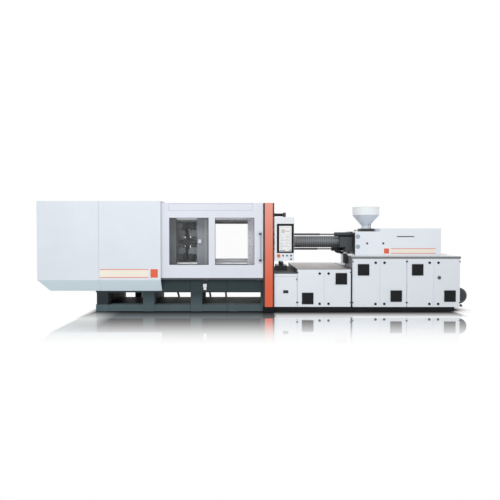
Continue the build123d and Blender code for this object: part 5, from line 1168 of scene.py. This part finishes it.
def studio_world():
    """White for the camera, mirrors and glass, and soft grey-white light for all else."""
    world = bpy.data.worlds.new("studio")
    SCENE.world = world
    world.use_nodes = True
    tree = world.node_tree
    tree.nodes.clear()
    shown, light = (tree.nodes.new("ShaderNodeBackground") for _ in range(2))
    for background, strength in ((shown, 1.0), (light, WORLD_LIGHT)):
        background.inputs["Color"].default_value = (1, 1, 1, 1)
        background.inputs["Strength"].default_value = strength
    path = tree.nodes.new("ShaderNodeLightPath")
    seen = path.outputs["Is Camera Ray"]
    for ray in ("Is Glossy Ray", "Is Transmission Ray"):
        either = tree.nodes.new("ShaderNodeMath")
        either.operation = "MAXIMUM"
        tree.links.new(seen, either.inputs[0])
        tree.links.new(path.outputs[ray], either.inputs[1])
        seen = either.outputs[0]
    mix = tree.nodes.new("ShaderNodeMixShader")
    out = tree.nodes.new("ShaderNodeOutputWorld")
    tree.links.new(seen, mix.inputs["Fac"])
    tree.links.new(light.outputs[0], mix.inputs[1])
    tree.links.new(shown.outputs[0], mix.inputs[2])
    tree.links.new(mix.outputs[0], out.inputs["Surface"])


def floor_shade(made, past_base):
    """How bright the floor is: darker towards the machine, with a hard edge at its foot."""
    base_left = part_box("clamp_base")[0].x
    open_sky = made.add("ShaderNodeAmbientOcclusion", {"Distance": SHADOW_REACH}, samples=8).outputs["AO"]
    shade = made.remap(open_sky, 0.0, 1.0, SHADE_DEEP, SHADE_OPEN)
    x = made.axis("X")
    ahead = made.maths("MULTIPLY", made.axis("Y"), -1.0)
    aside = made.maths("ABSOLUTE", made.axis("Y"))
    before = made.remap(ahead, BASE_AHEAD[0], 1.0, *BASE_AHEAD[1:])
    by_base = made.maths("MAXIMUM", before, made.remap(ahead, 1.0, 0.0, *BASE_BEHIND))
    by_base = made.maths("MULTIPLY", by_base, made.maths("SUBTRACT", 1.0, past_base))
    beside = made.remap(aside, PLINTH_SIDE[0], 1.0, *PLINTH_SIDE[1:])
    by_plinth = made.maths("MULTIPLY", beside, past_base)
    contact = made.maths("ADD", by_base, by_plinth)
    left_of = made.remap(x, 1.0, 0.0, base_left + LEFT_END[0], base_left + LEFT_END[1])
    contact = made.maths("MAXIMUM", contact, left_of)
    contact = made.maths("MAXIMUM", contact, made.remap(x, 0.0, 1.0, *RIGHT_END))
    return made.maths("MULTIPLY", shade, contact)


def mirror_share(made, past_base):
    """How much of the floor is mirror: most at the machine's front, fading towards the camera."""
    base_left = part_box("clamp_base")[0].x
    aside = made.maths("ABSOLUTE", made.axis("Y"))
    span = {"Value": made.axis("Y"), "From Min": MIRROR_END_Y, "From Max": MIRROR_START_Y}
    fade = made.add("ShaderNodeMapRange", span, interpolation_type="SMOOTHSTEP").outputs["Result"]
    by_plinth = made.remap(aside, PLINTH_MIRROR[0], 1.0, *PLINTH_MIRROR[1:])
    start = made.maths("MAXIMUM", by_plinth, made.maths("SUBTRACT", 1.0, past_base))
    right_of = made.remap(made.axis("X"), 0.0, 1.0, *(base_left + offset for offset in COVER_MIRROR_X))
    by_cover = made.maths("MAXIMUM", made.remap(aside, COVER_MIRROR[0], 1.0, *COVER_MIRROR[1:]), right_of)
    start = made.maths("MULTIPLY", start, by_cover)
    return made.maths("MULTIPLY", made.maths("MULTIPLY", fade, start), MIRROR_SHARE)


def floor_finish():
    """White floor with a soft contact shadow, and a mirror image that fades in front of the machine."""
    made = Finish("studio_floor")
    tree = made.tree
    made.set("Base Color", made.varied((0.9, 0.9, 0.9), made.noise(2.0), 0.005))
    made.set("Roughness", 0.6)
    made.set("Specular IOR Level", 0.0)
    past_base = made.remap(made.axis("X"), 0.0, 1.0, *PLINTH_START)
    shade = floor_shade(made, past_base)
    glow = made.add("ShaderNodeEmission", {"Color": shade})
    mirror = made.add("ShaderNodeBsdfGlossy", {"Color": shade, "Roughness": MIRROR_ROUGHNESS})
    seen = made.add("ShaderNodeMixShader", {"Fac": mirror_share(made, past_base)})
    tree.links.new(glow.outputs[0], seen.inputs[1])
    tree.links.new(mirror.outputs[0], seen.inputs[2])
    path = tree.nodes.new("ShaderNodeLightPath")
    mix = made.add("ShaderNodeMixShader", {"Fac": path.outputs["Is Camera Ray"]})
    tree.links.new(made.shader.outputs[0], mix.inputs[1])
    tree.links.new(seen.outputs[0], mix.inputs[2])
    tree.links.new(mix.outputs[0], tree.nodes["Material Output"].inputs["Surface"])
    return made


def floor():
    """The studio floor, which isn't part of the machine."""
    mesh = bpy.data.meshes.new("studio_floor")
    half = FLOOR_HALF
    corners = [(-half, -half, 0), (half, -half, 0), (half, half, 0), (-half, half, 0)]
    mesh.from_pydata(corners, [], [(0, 1, 2, 3)])
    mesh.materials.append(floor_finish().material)
    made = bpy.data.objects.new("studio_floor", mesh)
    SCENE.collection.objects.link(made)


def softbox(name, place, power):
    """A large rectangular lamp, aimed at the machine."""
    data = bpy.data.lights.new(name, "AREA")
    data.shape = "RECTANGLE"
    data.size, data.size_y = SOFTBOX_SIZE
    data.energy = power
    made = bpy.data.objects.new(name, data)
    made.location = place
    made.rotation_euler = (Vector(LIGHT_AIM) - Vector(place)).to_track_quat("-Z", "Y").to_euler()
    SCENE.collection.objects.link(made)


studio_world()
floor()
softbox("key", KEY_PLACE, KEY_POWER)
softbox("rim", RIM_PLACE, RIM_POWER)

# Camera: upright lines stay nearly parallel, as its shift does most of the tilt's work
camera_data = bpy.data.cameras.new("camera")
camera_data.sensor_width = SENSOR
camera_data.lens = FOCAL_PX * SENSOR / PHOTO_SIDE
camera_data.shift_y = (HORIZON_PX + TILT_PX - PHOTO_SIDE / 2) / PHOTO_SIDE
camera = bpy.data.objects.new("camera", camera_data)
camera.location = (CAMERA_X, CAMERA_Y, CAMERA_Z)
camera.rotation_euler = (math.pi / 2 - math.atan2(TILT_PX, FOCAL_PX), 0, 0)
SCENE.collection.objects.link(camera)
SCENE.camera = camera
SCENE.view_settings.view_transform = "Standard"
